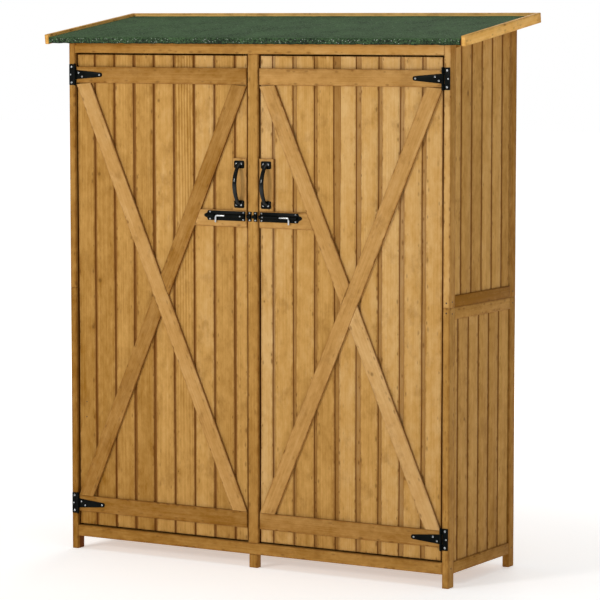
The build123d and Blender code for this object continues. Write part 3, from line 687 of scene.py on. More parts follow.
speck_bright = add(tree, "Math", {0: lip, 1: LIP_BRIGHTER, 2: SPECK_BRIGHT}, operation="MULTIPLY_ADD")
speck_share = add(tree, "Math", {0: speck, 1: speck_bright}, operation="MULTIPLY")
gritty = add(tree, "MixRGB", {"Fac": speck_share, "Color1": greens, "Color2": linear("#C3C9BD")})
# Black on the lip's foot and right end: cut bitumen and painted shade.
bitumen = add(tree, "Attribute", attribute_name="bitumen_and_shade").outputs["Fac"]
felt_colour = add(tree, "MixRGB", {"Fac": bitumen, "Color1": gritty, "Color2": linear("#0A0B0A")})
tree.links.new(felt_colour.outputs[0], shader.inputs["Base Color"])
bump = add(tree, "Bump", {"Strength": 0.5, "Distance": 0.8 * MM, "Height": grains.outputs["Distance"]})
tree.links.new(bump.outputs[0], shader.inputs["Normal"])
shader.inputs["Roughness"].default_value = 0.92
shader.inputs["IOR"].default_value = 1.5
shader.inputs["Specular IOR Level"].default_value = 0.12
felt = make_piece("roof_felt_sheet", pile, mineral_felt)
felt.data.attributes.new("lip", "FLOAT", "POINT").data.foreach_set("value", lips)
felt.data.attributes.new("bitumen_and_shade", "FLOAT", "POINT").data.foreach_set("value", bitumen_and_shade)
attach(felt, "shed")
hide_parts("roof_felt")

# Door boards
# Nine upright fir boards a door, of the same stock as the walls, held together by the battens on their face.
# The left door is tight. The right door's boards have dried apart, so that their tongues show as brown bands,
# and its last board is cut back from the post.
DOOR_AXES = (UP, RIGHT, INWARD)
DOOR_GAPS = {
    "left": [(4.0, 4.0), (3.5, 4.5), (6.0, 6.0), (6.5, 5.0), (4.0, 4.5), (3.5, 3.5), (4.5, 4.0), (5.0, 4.0)],
    "right": [
        (2.5, 6.0), (4.0, 11.0), (5.0, 8.0), (7.0, 23.0), (12.0, 13.0), (9.0, 9.0), (13.0, 10.0), (10.0, 9.0)
    ],
}
DOOR_TONES = {
    "left": [0.63, 0.64, 0.54, 0.6, 0.42, 0.42, 0.34, 0.5, 0.38],
    "right": [0.14, 0.33, 0.42, 0.46, 0.28, 0.33, 0.2, 0.28, 0.27],
}
DOOR_FIGURES = {
    "left": [0.05, 0.02, 0.05, 0.02, 0.03, 0.42, 0.03, 0.05, 0.02],
    "right": [0.02, 0.05, 0.02, 0.06, 0.03, 0.02, 0.05, 0.03, 0.06],
}
DOOR_TONGUE_STAIN = {"left": 0.75, "right": 0.42}
DOOR_EDGE_CHAMFER = 1.0
DOOR_LAST_CUT = {"left": 1.5, "right": 3.0}
for side in ("left", "right"):
    node = side + "_door_boards"
    pile = new_pile()
    for solid in solids(node):
        lay_panel(
            pile, solid, DOOR_AXES, DOOR_GAPS[side], tones=DOOR_TONES[side], figures=DOOR_FIGURES[side],
            tongue_stain=DOOR_TONGUE_STAIN[side], edge_chamfer=DOOR_EDGE_CHAMFER,
            last_cut=DOOR_LAST_CUT[side],
        )
    boards = make_piece(node + "_fir", pile, cladding_fir)
    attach(boards, side + "_door")
    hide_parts(node)

# Door battens
# Ledges, cross braces, handle block and bolt board: planed fir battens screwed to the boards from behind.
# They were stained as loose sticks, each a little differently, and their side faces are painted darker as
# shade.
# Painted shade on the battens' side faces.
BATTEN_SIDE_PAINTED_SHADE = 0.55
BATTEN_LEAST_EDGE = 4.5 * MM
batten_fir = stained_fir("stained_fir_battens", "#D0A76E", "#BB8D4F", "#8D5F1F", "#845A27")
BATTEN_TONES = {
    "left_door_ledges": (0.72, 0.76),
    "left_door_main_brace": (0.36,),
    "left_door_half_braces": (0.71, 0.79),
    "left_door_bolt_board": (0.45,),
    "left_door_handle_block": (0.48,),
    "right_door_ledges": (0.65, 0.53),
    "right_door_main_brace": (0.4,),
    "right_door_half_braces": (0.04, 0.4),
    "right_door_bolt_board": (0.45,),
    "right_door_handle_block": (0.48,),
}
for node, tones in BATTEN_TONES.items():
    pile = new_pile()
    for solid, tone in zip(solids(node, BATTEN_LEAST_EDGE), tones):
        lay_timber(pile, solid, tone, side_painted_shade=BATTEN_SIDE_PAINTED_SHADE)
    battens = make_piece(node + "_fir", pile, batten_fir)
    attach(battens, node.split("_")[0] + "_door")
    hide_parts(node)

# T-hinges
# A pressed steel plate on the post and a tapered strap on the ledge, each rolled at its edge round a riveted
# pin. Both are powder-coated black and held by three zinc-plated pan-head screws.
LEAF = 2.0
LEAF_EASE = 0.5
PLATE_HALF = 31.0
PLATE_CORNER = 2.5
KNUCKLE_RADIUS = 3.6
KNUCKLE_ARC = (80, -250)
PIN_RADIUS = 2.0
PIN_PLAY = 0.1
PIN_DOME, PIN_DOME_EDGE = 1.5, 0.5
PIN_HEAD_RADIUS, PIN_DOME_RADIUS = 2.4, 0.6
PIN_STEPS = 20
KNUCKLE_PLAY = 0.5
NOTCH_EDGE = 4.4
STRAP_HALF = 14.0
STRAP_TIP = 6.5
STRAP_TIP_ARC = (95, 265)
EASE_KNEE = 0.3
ARC_STEPS = 8
KNUCKLE_STEPS = 22
PLATE_SCREWS = [(-23.0, 9.0, 3.3), (0.0, 5.5, 2.6), (23.0, 9.0, 3.3)]
STRAP_SCREWS = [(12.0, 5.5, 2.9), (25.0, -5.5, 2.9), (86.0, 0.0, 2.9)]
SCREW_PROFILE = [
    (1.0, -0.2), (1.0, 0.16), (0.93, 0.34), (0.8, 0.46), (0.62, 0.54), (0.5, 0.57), (0.36, 0.59), (0.2, 0.6),
    (0.05, 0.6),
]
SCREW_STEPS = 32
RECESS_REACH, RECESS_WIDTH, RECESS_DEPTH = 0.58, 0.13, 0.32
UPRIGHT = 0.9
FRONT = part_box("front_sill_rail")[0].y / MM
OUTWARD = -INWARD


def halfway(places):
    """The middle of the range that a list of places spans."""
    return (min(places) + max(places)) / 2


def arc(centre, radius, start_deg, end_deg, steps):
    """Points on a circle from one angle to another."""
    turns = [math.radians(start_deg + (end_deg - start_deg) * step / steps) for step in range(steps + 1)]
    return [(centre[0] + radius * math.cos(turn), centre[1] + radius * math.sin(turn)) for turn in turns]


def inset(outline, amount):
    """A counter-clockwise outline moved inward."""
    moved = []
    for place, here in enumerate(outline):
        here, before = Vector(here), Vector(outline[place - 1])
        after = Vector(outline[(place + 1) % len(outline)])
        ahead, behind = (after - here).normalized(), (here - before).normalized()
        inward = Vector((-ahead.y - behind.y, ahead.x + behind.x)) / (1 + ahead.dot(behind))
        moved.append(here + inward * amount)
    return moved


def lay_plate(pile, outline, face, back, ease):
    """Adds a flat plate on an outline of (x, z) points, counter-clockwise as seen from the front."""
    knee = EASE_KNEE * ease
    levels = [(0.0, back), (0.0, face + ease), (knee, face + knee), (ease, face)]
    rings = [[Vector((x, y, z)) for x, z in inset(outline, amount)] for amount, y in levels]
    lay_rings(pile, rings, True)


def mirrored_outline(outline, side):
    """An outline drawn for the right side, or its mirror image for the left one."""
    return outline if side > 0 else [(-x, z) for x, z in reversed(outline)]


def lay_knuckle(pile, x, y, low, high, side):
    """Adds a leaf's rolled edge: an open ring whose end comes back to the leaf."""
    outer = arc((0, 0), KNUCKLE_RADIUS, *KNUCKLE_ARC, KNUCKLE_STEPS)
    inner = arc((0, 0), PIN_RADIUS + PIN_PLAY, *reversed(KNUCKLE_ARC), KNUCKLE_STEPS)
    rings = [[Vector((x + side * a, y + b, z)) for a, b in outer + inner] for z in (low, high)]
    lay_rings(pile, rings, True)


def square_to(outward):
    """Two directions at right angles to the outward one and to each other."""
    aside = outward.cross(UP if abs(outward.z) < UPRIGHT else RIGHT).normalized()
    return aside, outward.cross(aside)


def lay_turned(pile, place, outward, profile, steps):
    """Adds a turned form on a profile of (radius, height) points about the outward direction."""
    aside, beside = square_to(outward)
    turns = [math.tau * step / steps for step in range(steps)]
    rings = []
    for radius, height in profile:
        spokes = [aside * math.cos(turn) + beside * math.sin(turn) for turn in turns]
        rings.append([place + outward * height + spoke * radius for spoke in spokes])
    return lay_rings(pile, rings, True)


def lay_screw(pile, place, outward, radius):
    """Adds a pan-head screw with a cross recess, turned at random as a driver leaves it."""
    profile = [(radius * wide, radius * high) for wide, high in SCREW_PROFILE]
    added = lay_turned(pile, Vector(place), outward, profile, SCREW_STEPS)
    turn = dice.uniform(0, math.pi / 2)
    aside, beside = square_to(outward)
    arms = [aside * math.cos(turn) + beside * math.sin(turn)]
    arms += [beside * math.cos(turn) - aside * math.sin(turn)]
    for point in added:
        reach = [abs((point - Vector(place)).dot(arm)) / radius for arm in arms]
        if max(reach) < RECESS_REACH and min(reach) < RECESS_WIDTH:
            point -= outward * radius * RECESS_DEPTH


# Powder coat over steel: a satin black skin whose fine orange peel breaks up the reflections.
powder_black, tree, shader = new_material("powder_coated_steel_black")
PEEL_SIZE = 1.6  # real orange peel is about 0.5 mm, drawn coarser to show
SCUFF_SIZE = 24.0
place = add(tree, "TexCoord").outputs["Object"]
peel = add(tree, "TexNoise", {"Vector": place, "Scale": 1 / (PEEL_SIZE * MM), "Detail": 3.0})
scuffed = {"Vector": place, "Scale": 1 / (SCUFF_SIZE * MM), "Detail": 5.0, "Roughness": 0.7}
scuff = add(tree, "TexNoise", scuffed)
coat = add(tree, "ValToRGB", {0: scuff})
coat.color_ramp.elements[0].position = 0.35
coat.color_ramp.elements[0].color = linear("#060807")
coat.color_ramp.elements[1].position = 0.75
coat.color_ramp.elements[1].color = linear("#101412")
tree.links.new(coat.outputs[0], shader.inputs["Base Color"])
satin = {"Value": scuff, "From Min": 0.3, "From Max": 0.7, "To Min": 0.3, "To Max": 0.46}
worn = add(tree, "MapRange", satin)
tree.links.new(worn.outputs[0], shader.inputs["Roughness"])
bump = add(tree, "Bump", {"Strength": 0.12, "Distance": 0.2 * MM, "Height": peel})
tree.links.new(bump.outputs[0], shader.inputs["Normal"])
shader.inputs["Specular IOR Level"].default_value = 0.035

# Bright zinc on steel: a pale, slightly blue mirror, clouded by handling.
zinc, tree, shader = new_material("zinc_plated_steel")
CLOUD_SIZE = 6.0
place = add(tree, "TexCoord").outputs["Object"]
cloud = add(tree, "TexNoise", {"Vector": place, "Scale": 1 / (CLOUD_SIZE * MM), "Detail": 4.0})
plate_tone = add(tree, "ValToRGB", {0: cloud})
plate_tone.color_ramp.elements[0].color = linear("#A2A6A8")
plate_tone.color_ramp.elements[1].color = linear("#D4D6D6")
tree.links.new(plate_tone.outputs[0], shader.inputs["Base Color"])
handled = {"Value": cloud, "From Min": 0.3, "From Max": 0.7, "To Min": 0.22, "To Max": 0.4}
clouded = add(tree, "MapRange", handled)
tree.links.new(clouded.outputs[0], shader.inputs["Roughness"])
shader.inputs["Metallic"].default_value = 1.0

plates, plate_screws = new_pile(), new_pile()
hinge_axes = {joint["child"]: joint["pos_m"] for joint in frame["joints"] if joint["type"] == "hinge"}
for points, _ in solids("hinge_plates"):
    side = 1 if points[0].x > 0 else -1
    axis_x, axis_y = [place / MM for place in hinge_axes["right_door" if side > 0 else "left_door"][:2]]
    middle = halfway([p.z for p in points])
    outer, inner = max(abs(p.x) for p in points), abs(axis_x)
    notch = STRAP_HALF + KNUCKLE_PLAY
    corner = PLATE_CORNER
    outline = [(inner, middle - PLATE_HALF)]
    outline += arc((outer - corner, middle - PLATE_HALF + corner), corner, -90, 0, ARC_STEPS)
    outline += arc((outer - corner, middle + PLATE_HALF - corner), corner, 0, 90, ARC_STEPS)
    outline += [(inner, middle + PLATE_HALF), (inner, middle + notch), (inner + NOTCH_EDGE, middle + notch)]
    outline += [(inner + NOTCH_EDGE, middle - notch), (inner, middle - notch)]
    lay_plate(plates, mirrored_outline(outline, side), FRONT - LEAF, FRONT, LEAF_EASE)
    for low, high in ((-PLATE_HALF, -notch), (notch, PLATE_HALF)):
        lay_knuckle(plates, axis_x, axis_y, middle + low, middle + high, side)
    pin_end = PLATE_HALF + PIN_DOME
    pin = [(PIN_DOME_RADIUS, -pin_end), (PIN_HEAD_RADIUS, -pin_end + PIN_DOME_EDGE)]
    pin += [(PIN_HEAD_RADIUS, -PLATE_HALF)]
    pin += [(PIN_RADIUS, -PLATE_HALF), (PIN_RADIUS, PLATE_HALF)]
    pin += [(radius, -height) for radius, height in pin[2::-1]]
    lay_turned(plates, Vector((axis_x, axis_y, middle)), UP, pin, PIN_STEPS)
    for rise, from_outer, radius in PLATE_SCREWS:
        spot = Vector((side * (outer - from_outer), FRONT - LEAF, middle + rise))
        lay_screw(plate_screws, spot, OUTWARD, radius)
hinge_plates = make_piece("hinge_plates_black", plates, powder_black)
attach(hinge_plates, "shed")
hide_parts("hinge_plates")
hinge_screws = make_piece("hinge_plate_screws", plate_screws, zinc)
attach(hinge_screws, "shed")
for name, side in (("left", -1), ("right", 1)):
    straps, strap_screws = new_pile(), new_pile()
    axis_x, axis_y = [place / MM for place in hinge_axes[name + "_door"][:2]]
    for points, _ in solids(name + "_hinge_straps"):
        middle = halfway([p.z for p in points])
        tip = min(abs(p.x) for p in points)
        outline = [(abs(axis_x), middle - STRAP_HALF), (abs(axis_x), middle + STRAP_HALF)]
        outline += arc((tip + STRAP_TIP, middle), STRAP_TIP, *STRAP_TIP_ARC, 2 * ARC_STEPS)
        lay_plate(straps, mirrored_outline(outline, side), FRONT - LEAF, FRONT, LEAF_EASE)
        lay_knuckle(straps, axis_x, axis_y, middle - STRAP_HALF, middle + STRAP_HALF, -side)
        for run, rise, radius in STRAP_SCREWS:
            spot = Vector((side * (abs(axis_x) - run), FRONT - LEAF, middle - side * rise))
            lay_screw(strap_screws, spot, OUTWARD, radius)
    strap_pieces = make_piece(name + "_hinge_straps_black", straps, powder_black)
    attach(strap_pieces, name + "_door")
    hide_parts(name + "_hinge_straps")
    strap_heads = make_piece(name + "_strap_screws", strap_screws, zinc)
    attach(strap_heads, name + "_door")

# Pull handles
# Cast iron bows on two rounded pads, thickest at the middle of the grip and flared where they meet the pads.
# The bows are glossy black and the pads satin black, and each pad takes two zinc screws side by side.
PAD_WIDTH, PAD_HEIGHT, PAD_THICKNESS = 33.0, 22.0, 3.0
PAD_CORNER = 4.0
PAD_EASE = 1.0
PAD_SCREW_RADIUS = 3.2
PAD_SCREW_APART = 8.0
PAD_SCREW_OFFSET = 2.0
GRIP_REACH = 27.0
GRIP_WIDTH, NECK_WIDTH, FLARE_WIDTH = 13.0, 9.0, 19.0
GRIP_DEPTH = 8.5
FLARE_SHARE = 0.12
BOW_STATIONS = 44
BOW_STEPS = 24
BOW_SQUARENESS = 2.6


def squared(share):
    """A cosine or sine, pushed outward so that a round section becomes a squarish one."""
    return math.copysign(abs(share) ** (2 / BOW_SQUARENESS), share)


# Gloss enamel on cast iron: as black as the hinges, with a sharp white streak along the bow.
enamel_black = powder_black.copy()
enamel_black.name = "gloss_enamelled_iron_black"
shader = enamel_black.node_tree.nodes["Principled BSDF"]
shader.inputs["Coat Weight"].default_value = 0.4
shader.inputs["Coat Roughness"].default_value = 0.04
for name in ("left", "right"):
    node = name + "_pull_handle"
    points = solids(node)[0][0]
    x = halfway([p.x for p in points])
    low, high = min(p.z for p in points) + PAD_HEIGHT / 2, max(p.z for p in points) - PAD_HEIGHT / 2
    pads, bow, handle_screws = new_pile(), new_pile(), new_pile()
    for pad, away in ((low, -1), (high, 1)):
        across, up = PAD_WIDTH / 2 - PAD_CORNER, PAD_HEIGHT / 2 - PAD_CORNER
        outline = []
        for turn, (right, rise) in enumerate(((1, -1), (1, 1), (-1, 1), (-1, -1))):
            centre = (x + right * across, pad + rise * up)
            outline += arc(centre, PAD_CORNER, 90 * turn - 90, 90 * turn, ARC_STEPS)
        lay_plate(pads, outline, FRONT - PAD_THICKNESS, FRONT, PAD_EASE)
        for aside in (-PAD_SCREW_APART, PAD_SCREW_APART):
            spot = Vector((x + aside, FRONT - PAD_THICKNESS, pad + away * PAD_SCREW_OFFSET))
            lay_screw(handle_screws, spot, OUTWARD, PAD_SCREW_RADIUS)
    half_span, rise = (high - low) / 2, GRIP_REACH - PAD_THICKNESS
    bow_radius = (half_span**2 + rise**2) / (2 * rise)
    half_turn = math.asin(half_span / bow_radius)
    centre_y = FRONT - GRIP_REACH + bow_radius
    rings = []
    for station in range(BOW_STATIONS + 1):
        share = station / BOW_STATIONS
        turn = half_turn * (2 * share - 1)
        radial = Vector((0, -math.cos(turn), math.sin(turn)))
        middle = Vector((x, centre_y, (low + high) / 2)) + radial * bow_radius
        flare = max(0.0, 1 - min(share, 1 - share) / FLARE_SHARE) ** 2
        swell = (GRIP_WIDTH - NECK_WIDTH) * math.sin(math.pi * share)
        width = NECK_WIDTH + swell + flare * (FLARE_WIDTH - NECK_WIDTH)
        ring = []
        for step in range(BOW_STEPS):
            spoke = math.tau * step / BOW_STEPS
            aside = squared(math.cos(spoke)) * width / 2
            out = squared(math.sin(spoke)) * GRIP_DEPTH / 2
            ring.append(middle + RIGHT * aside + radial * out)
        rings.append(ring)
    lay_rings(bow, rings, True)
    pull = make_piece(node + "_black", bow, enamel_black)
    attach(pull, name + "_door")
    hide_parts(node)
    pull_pads = make_piece(name + "_handle_pads_black", pads, powder_black)
    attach(pull_pads, name + "_door")
    pull_screws = make_piece(name + "_handle_screws", handle_screws, zinc)
    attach(pull_screws, name + "_door")

# Barrel bolts
# A pressed black plate with a pointed end and an arched channel on each side of a window, for a bent zinc
# rod. The rod slides through a keeper of the same make on the centre post. All are held by zinc screws.
ROD_RADIUS = 2.7
ROD_BEND = 5.0
ROD_BEND_STEP_DEG = 10
ROD_STEPS = 18
ROD_DOME = 1.2
ROD_TIP_SHARE, ROD_DOME_SHARE = 0.45, 0.85
CHANNEL_INNER, CHANNEL_OUTER = 3.5, 5.3
BOLT_PLATE = 2.0
BOLT_PLATE_HALF = 14.0
NECK_HALF, NECK_RUN = 7.0, 4.0
POINT_HALF, POINT_RUN = 4.2, 3.0
SHOULDER_RUN = 14.0
STOP_RUN = 24.0
WINDOW_LENGTH = 36.0
BOLT_SCREW_RADIUS = 2.6
BOLT_SCREW_RISE = 10.0
INNER_SCREW_RUN, OUTER_SCREW_RUN = 6.0, 7.0
STUD_RADIUS, STUD_RUN = 2.2, 13.0
RIVET_PROFILE = [(2.0, -0.3), (2.0, 0.2), (1.6, 0.7), (0.4, 0.95)]
RIVET_RUN = 10.0
RIVET_STEPS = 20


def lay_channel(pile, x0, x1, y, z, plate_face):
    """Adds an arched channel over the rod, open towards its plate."""
    outer = [(plate_face, z - CHANNEL_OUTER)]
    outer += [(y - a, z - b) for b, a in arc((0, 0), CHANNEL_OUTER, 0, 180, KNUCKLE_STEPS)]
    outer += [(plate_face, z + CHANNEL_OUTER), (plate_face, z + CHANNEL_INNER)]
    inner = [(y - a, z - b) for b, a in arc((0, 0), CHANNEL_INNER, 180, 0, KNUCKLE_STEPS)]
    profile = outer + inner + [(plate_face, z - CHANNEL_INNER)]
    lay_rings(pile, [[Vector((x, b, c)) for b, c in profile] for x in (x0, x1)], True)


keepers, keeper_screws = new_pile(), new_pile()
for name, side in (("left", -1), ("right", 1)):
    rod_points = solids(name + "_bolt_rod")[0][0]
    tip, bend = min(abs(p.x) for p in rod_points), max(abs(p.x) for p in rod_points) - ROD_RADIUS
    rod_y = halfway([p.y for p in rod_points])
    rod_z, rod_foot = max(p.z for p in rod_points) - ROD_RADIUS, min(p.z for p in rod_points)
    plate_face = FRONT - BOLT_PLATE

    housing_points = solids(name + "_bolt_housing")[0][0]
    inner, outer = min(abs(p.x) for p in housing_points), max(abs(p.x) for p in housing_points)
    shoulder = outer - SHOULDER_RUN
    window_outer = shoulder - STOP_RUN
    window_inner = window_outer - WINDOW_LENGTH
    half = [(inner, BOLT_PLATE_HALF), (shoulder, BOLT_PLATE_HALF), (shoulder + NECK_RUN, NECK_HALF)]
    half += [(outer - POINT_RUN, POINT_HALF)]
    outline = [(run, rod_z - rise) for run, rise in half] + [(outer, rod_z)]
    outline += [(run, rod_z + rise) for run, rise in reversed(half)]
    housing, housing_screws = new_pile(), new_pile()
    lay_plate(housing, mirrored_outline(outline, side), plate_face, FRONT, LEAF_EASE)
    lay_channel(housing, side * inner, side * window_inner, rod_y, rod_z, plate_face)
    lay_channel(housing, side * window_outer, side * shoulder, rod_y, rod_z, plate_face)
    for rise in (-BOLT_SCREW_RISE, BOLT_SCREW_RISE):
        for run in (inner + INNER_SCREW_RUN, shoulder - OUTER_SCREW_RUN):
            spot = Vector((side * run, plate_face, rod_z + rise))
            lay_screw(housing_screws, spot, OUTWARD, BOLT_SCREW_RADIUS)
        spot = Vector((side * (window_inner - RIVET_RUN), plate_face, rod_z + rise))
        lay_turned(housing, spot, OUTWARD, RIVET_PROFILE, RIVET_STEPS)
    stud = Vector((side * (inner + STUD_RUN), rod_y - CHANNEL_OUTER, rod_z))
    lay_screw(housing_screws, stud, OUTWARD, STUD_RADIUS)
    housing_piece = make_piece(name + "_bolt_housing_black", housing, powder_black)
    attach(housing_piece, name + "_door")
    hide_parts(name + "_bolt_housing")
    housing_heads = make_piece(name + "_bolt_screws", housing_screws, zinc)
    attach(housing_heads, name + "_door")

    dome = [(0.0, ROD_TIP_SHARE), (ROD_DOME / 2, ROD_DOME_SHARE), (ROD_DOME, 1.0)]
    centres = [((tip + run, rod_z), ROD_RADIUS * share, 180) for run, share in dome]
    for turn in range(0, 91, ROD_BEND_STEP_DEG):
        spot = arc((bend - ROD_BEND, rod_z - ROD_BEND), ROD_BEND, 90 - turn, 90 - turn, 1)[0]
        centres.append((spot, ROD_RADIUS, 180 - turn))
    centres += [((bend, rod_foot + rise), ROD_RADIUS * share, 90) for rise, share in reversed(dome)]
    rings = []
    for (run, rise), radius, heading in centres:
        aside = Vector((side * math.sin(math.radians(heading)), 0, -math.cos(math.radians(heading))))
        ring = []
        for step in range(ROD_STEPS):
            spoke = math.tau * step / ROD_STEPS
            middle = Vector((side * run, rod_y, rise))
            ring.append(middle + (aside * math.cos(spoke) + OUTWARD * math.sin(spoke)) * radius)
        rings.append(ring)
    rod = new_pile()
    lay_rings(rod, rings, True)
    rod_piece = make_piece(name + "_bolt_rod_zinc", rod, zinc)
    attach(rod_piece, name + "_bolt")
    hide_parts(name + "_bolt_rod")

    for points, _ in solids("bolt_keepers"):
        if points[0].x * side > 0:
            x0, x1 = min(abs(p.x) for p in points), max(abs(p.x) for p in points)
            outline = [(x0, rod_z - BOLT_PLATE_HALF), (x1, rod_z - BOLT_PLATE_HALF)]
            outline += [(x1, rod_z + BOLT_PLATE_HALF), (x0, rod_z + BOLT_PLATE_HALF)]
            lay_plate(keepers, mirrored_outline(outline, side), plate_face, FRONT, LEAF_EASE)
            lay_channel(keepers, side * x0, side * x1, rod_y, rod_z, plate_face)
            for rise in (-BOLT_SCREW_RISE, BOLT_SCREW_RISE):
                spot = Vector((side * (x0 + x1) / 2, plate_face, rod_z + rise))
                lay_screw(keeper_screws, spot, OUTWARD, BOLT_SCREW_RADIUS)
keeper_pieces = make_piece("bolt_keepers_black", keepers, powder_black)
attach(keeper_pieces, "shed")
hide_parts("bolt_keepers")
keeper_heads = make_piece("bolt_keeper_screws", keeper_screws, zinc)
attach(keeper_heads, "shed")

# Batten screws
# Zinc screws driven from behind, one through each board into each ledge, so that the battens' faces stay
# clean. They show only on the backs of the open doors.
BATTEN_SCREW_RADIUS = 3.2
for side in ("left", "right"):
    door_low, door_high = [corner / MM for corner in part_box(side + "_door_boards")]
    board_count = len(DOOR_TONES[side])
    pile = new_pile()
    for points, _ in solids(side + "_door_ledges"):
        middle = halfway([p.z for p in points])
        for board in range(board_count):
            x = door_low.x + (door_high.x - door_low.x) * (board + 0.5) / board_count
            lay_screw(pile, (x, door_high.y, middle), INWARD, BATTEN_SCREW_RADIUS)
    batten_screws = make_piece(side + "_batten_screws", pile, zinc)
    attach(batten_screws, side + "_door")

# Frame fixings
# Plain steel nails through the corner posts into the rail ends, two where the right post's lengths meet, and
# two pins in the left door's first board. Rust and stain have turned them dark brown.
NAIL_STEPS = 14
NAIL_PROFILE = [(2.4, -1.0), (2.4, 0.2), (1.7, 0.6)]
PIN_PROFILE = [(1.8, -1.0), (1.8, 0.2), (1.2, 0.5)]
JOINT_NAIL_RISE = 14.0
PIN_SPOTS = [(24.0, 323.0), (25.0, 368.0)]

# Stained steel: a dull dark brown with rustier patches.
dark_steel, tree, shader = new_material("rusted_steel_dark")
RUST_SIZE = 3.0
place = add(tree, "TexCoord").outputs["Object"]
rust = add(tree, "TexNoise", {"Vector": place, "Scale": 1 / (RUST_SIZE * MM), "Detail": 4.0})
rust_tone = add(tree, "ValToRGB", {0: rust})
rust_tone.color_ramp.elements[0].color = linear("#1A120B")
rust_tone.color_ramp.elements[1].color = linear("#4A2E18")
tree.links.new(rust_tone.outputs[0], shader.inputs["Base Color"])
shader.inputs["Roughness"].default_value = 0.6

nails = new_pile()
post_points = [points for points, _ in solids("lower_corner_posts")]
for side, sign in (("left", -1), ("right", 1)):
    post_ys = [sum(p.y for p in points) / len(points) for points in post_points if points[0].x * sign > 0]
    outer_x = sign * max(abs(p.x) for points in post_points for p in points)
    for points, _ in solids(side + "_lower_rails") + solids(side + "_upper_rails"):
        for end, post_y in ((min, min(post_ys)), (max, max(post_ys))):
            rail_end = end(p.y for p in points)
            heights = [p.z for p in points if abs(p.y - rail_end) < AT_END]
            spot = Vector((outer_x, post_y, sum(heights) / len(heights)))
            lay_turned(nails, spot, RIGHT * sign, NAIL_PROFILE, NAIL_STEPS)
right_post = max(post_points, key=lambda points: points[0].x - points[0].y)
joint_x = sum(p.x for p in right_post) / len(right_post)
joint_z = max(p.z for p in right_post)
for rise in (-JOINT_NAIL_RISE, JOINT_NAIL_RISE):
    lay_turned(nails, Vector((joint_x, FRONT, joint_z + rise)), OUTWARD, NAIL_PROFILE, NAIL_STEPS)
frame_nails = make_piece("frame_nails", nails, dark_steel)
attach(frame_nails, "shed")
pins = new_pile()
door_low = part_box("left_door_boards")[0] / MM
for across, rise in PIN_SPOTS:
    spot = Vector((door_low.x + across, door_low.y, door_low.z + rise))
    lay_turned(pins, spot, OUTWARD, PIN_PROFILE, NAIL_STEPS)
door_pins = make_piece("left_door_pins", pins, dark_steel)
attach(door_pins, "left_door")

# Studio
# A plain pale floor that glows, weakly beside the shed and more strongly farther out, so that it fades into
# white paper; its glow also lights the shed from below. Soft white light comes from lamps, strongest from the
# front left. The camera stands where the photograph was taken.
FLOOR_HALF = 30.0
PAPER_FROM, PAPER_TO = 0.9, 3.0
PAPER_MOTTLE = 1000.0 / 3
ROOM_LIGHT = 0.29
floor_mesh = bpy.data.meshes.new("studio_floor")
corners = [(-FLOOR_HALF, -FLOOR_HALF, 0), (FLOOR_HALF, -FLOOR_HALF, 0)]
corners += [(FLOOR_HALF, FLOOR_HALF, 0), (-FLOOR_HALF, FLOOR_HALF, 0)]
floor_mesh.from_pydata(corners, [], [(0, 1, 2, 3)])
studio_paper, tree, shader = new_material("studio_paper_white")
place = add(tree, "TexCoord").outputs["Object"]
mottle = add(tree, "TexNoise", {"Vector": place, "Scale": 1 / (PAPER_MOTTLE * MM), "Detail": 3.0})
paper = add(tree, "ValToRGB", {0: mottle})
paper.color_ramp.elements[0].color = linear("#F1F1F0")
paper.color_ramp.elements[1].color = linear("#F5F5F4")
tree.links.new(paper.outputs[0], shader.inputs["Base Color"])
reach = add(tree, "VectorMath", {0: place}, operation="LENGTH").outputs["Value"]
glow = add(
    tree, "MapRange",
    {"Value": reach, "From Min": PAPER_FROM, "From Max": PAPER_TO, "To Min": 0.45, "To Max": 0.85},
    interpolation_type="SMOOTHSTEP",
)
shader.inputs["Emission Color"].default_value = linear("#FFFFFF")
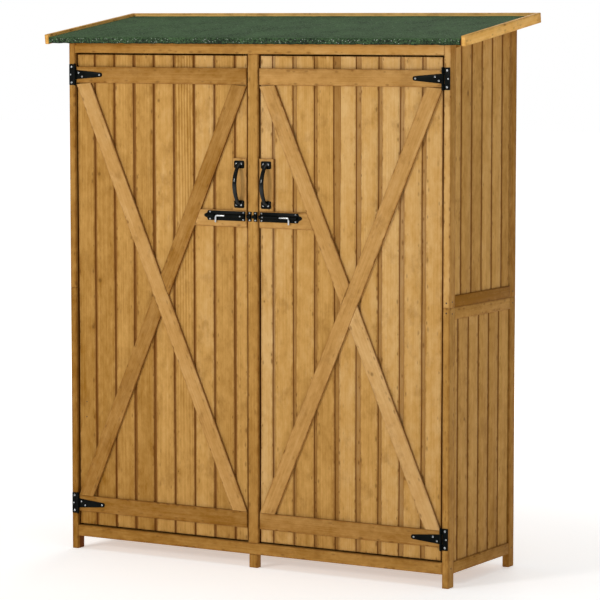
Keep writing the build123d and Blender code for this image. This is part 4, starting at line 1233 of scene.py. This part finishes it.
tree.links.new(glow.outputs[0], shader.inputs["Emission Strength"])
shader.inputs["Roughness"].default_value = 0.9
floor_mesh.materials.append(studio_paper)
floor = bpy.data.objects.new("studio_floor", floor_mesh)
bpy.context.scene.collection.objects.link(floor)

AIM = Vector((0, 0, 0.8))
SOFTBOXES = {
    "key_softbox": ((-2.6, -6.0, 2.6), 1.2, 150.0),
    "side_softbox": ((6.0, -1.2, 2.4), 3.0, 12.0),
    "back_softbox": ((-1.5, 6.0, 3.0), 3.0, 110.0),
    "top_softbox": ((0.0, -0.6, 6.0), 4.0, 75.0),
}
for name, (place, size, power) in SOFTBOXES.items():
    light = bpy.data.lights.new(name, "AREA")
    light.size = size
    light.energy = power
    softbox = bpy.data.objects.new(name, light)
    softbox.location = place
    softbox.rotation_euler = (AIM - Vector(place)).to_track_quat("-Z", "Y").to_euler()
    softbox.visible_camera = False
    bpy.context.scene.collection.objects.link(softbox)
world = bpy.data.worlds.new("studio_white")
world.use_nodes = True
tree = world.node_tree
seen = add(tree, "LightPath").outputs["Is Camera Ray"]
level = add(tree, "MapRange", {"Value": seen, "To Min": ROOM_LIGHT, "To Max": 1.0})
tree.links.new(level.outputs[0], tree.nodes["Background"].inputs["Strength"])
tree.nodes["Background"].inputs["Color"].default_value = linear("#FFFFFF")
bpy.context.scene.world = world
bpy.context.scene.view_settings.view_transform = "Standard"

CAMERA_PLACE = (4.3287, -7.3132, 1.5792)
CAMERA_TURN_DEG = 30.396
CAMERA_TILT_DEG = -5.491
FOCAL_PIXELS = 2913.9
IMAGE_PIXELS = 600
SENSOR_MM = 36.0
camera_data = bpy.data.cameras.new("photo_camera")
camera_data.sensor_width = SENSOR_MM
camera_data.lens = FOCAL_PIXELS * SENSOR_MM / IMAGE_PIXELS
camera = bpy.data.objects.new("photo_camera", camera_data)
camera.location = CAMERA_PLACE
camera.rotation_euler = (math.radians(90 + CAMERA_TILT_DEG), 0, math.radians(CAMERA_TURN_DEG))
bpy.context.scene.collection.objects.link(camera)
bpy.context.scene.camera = camera
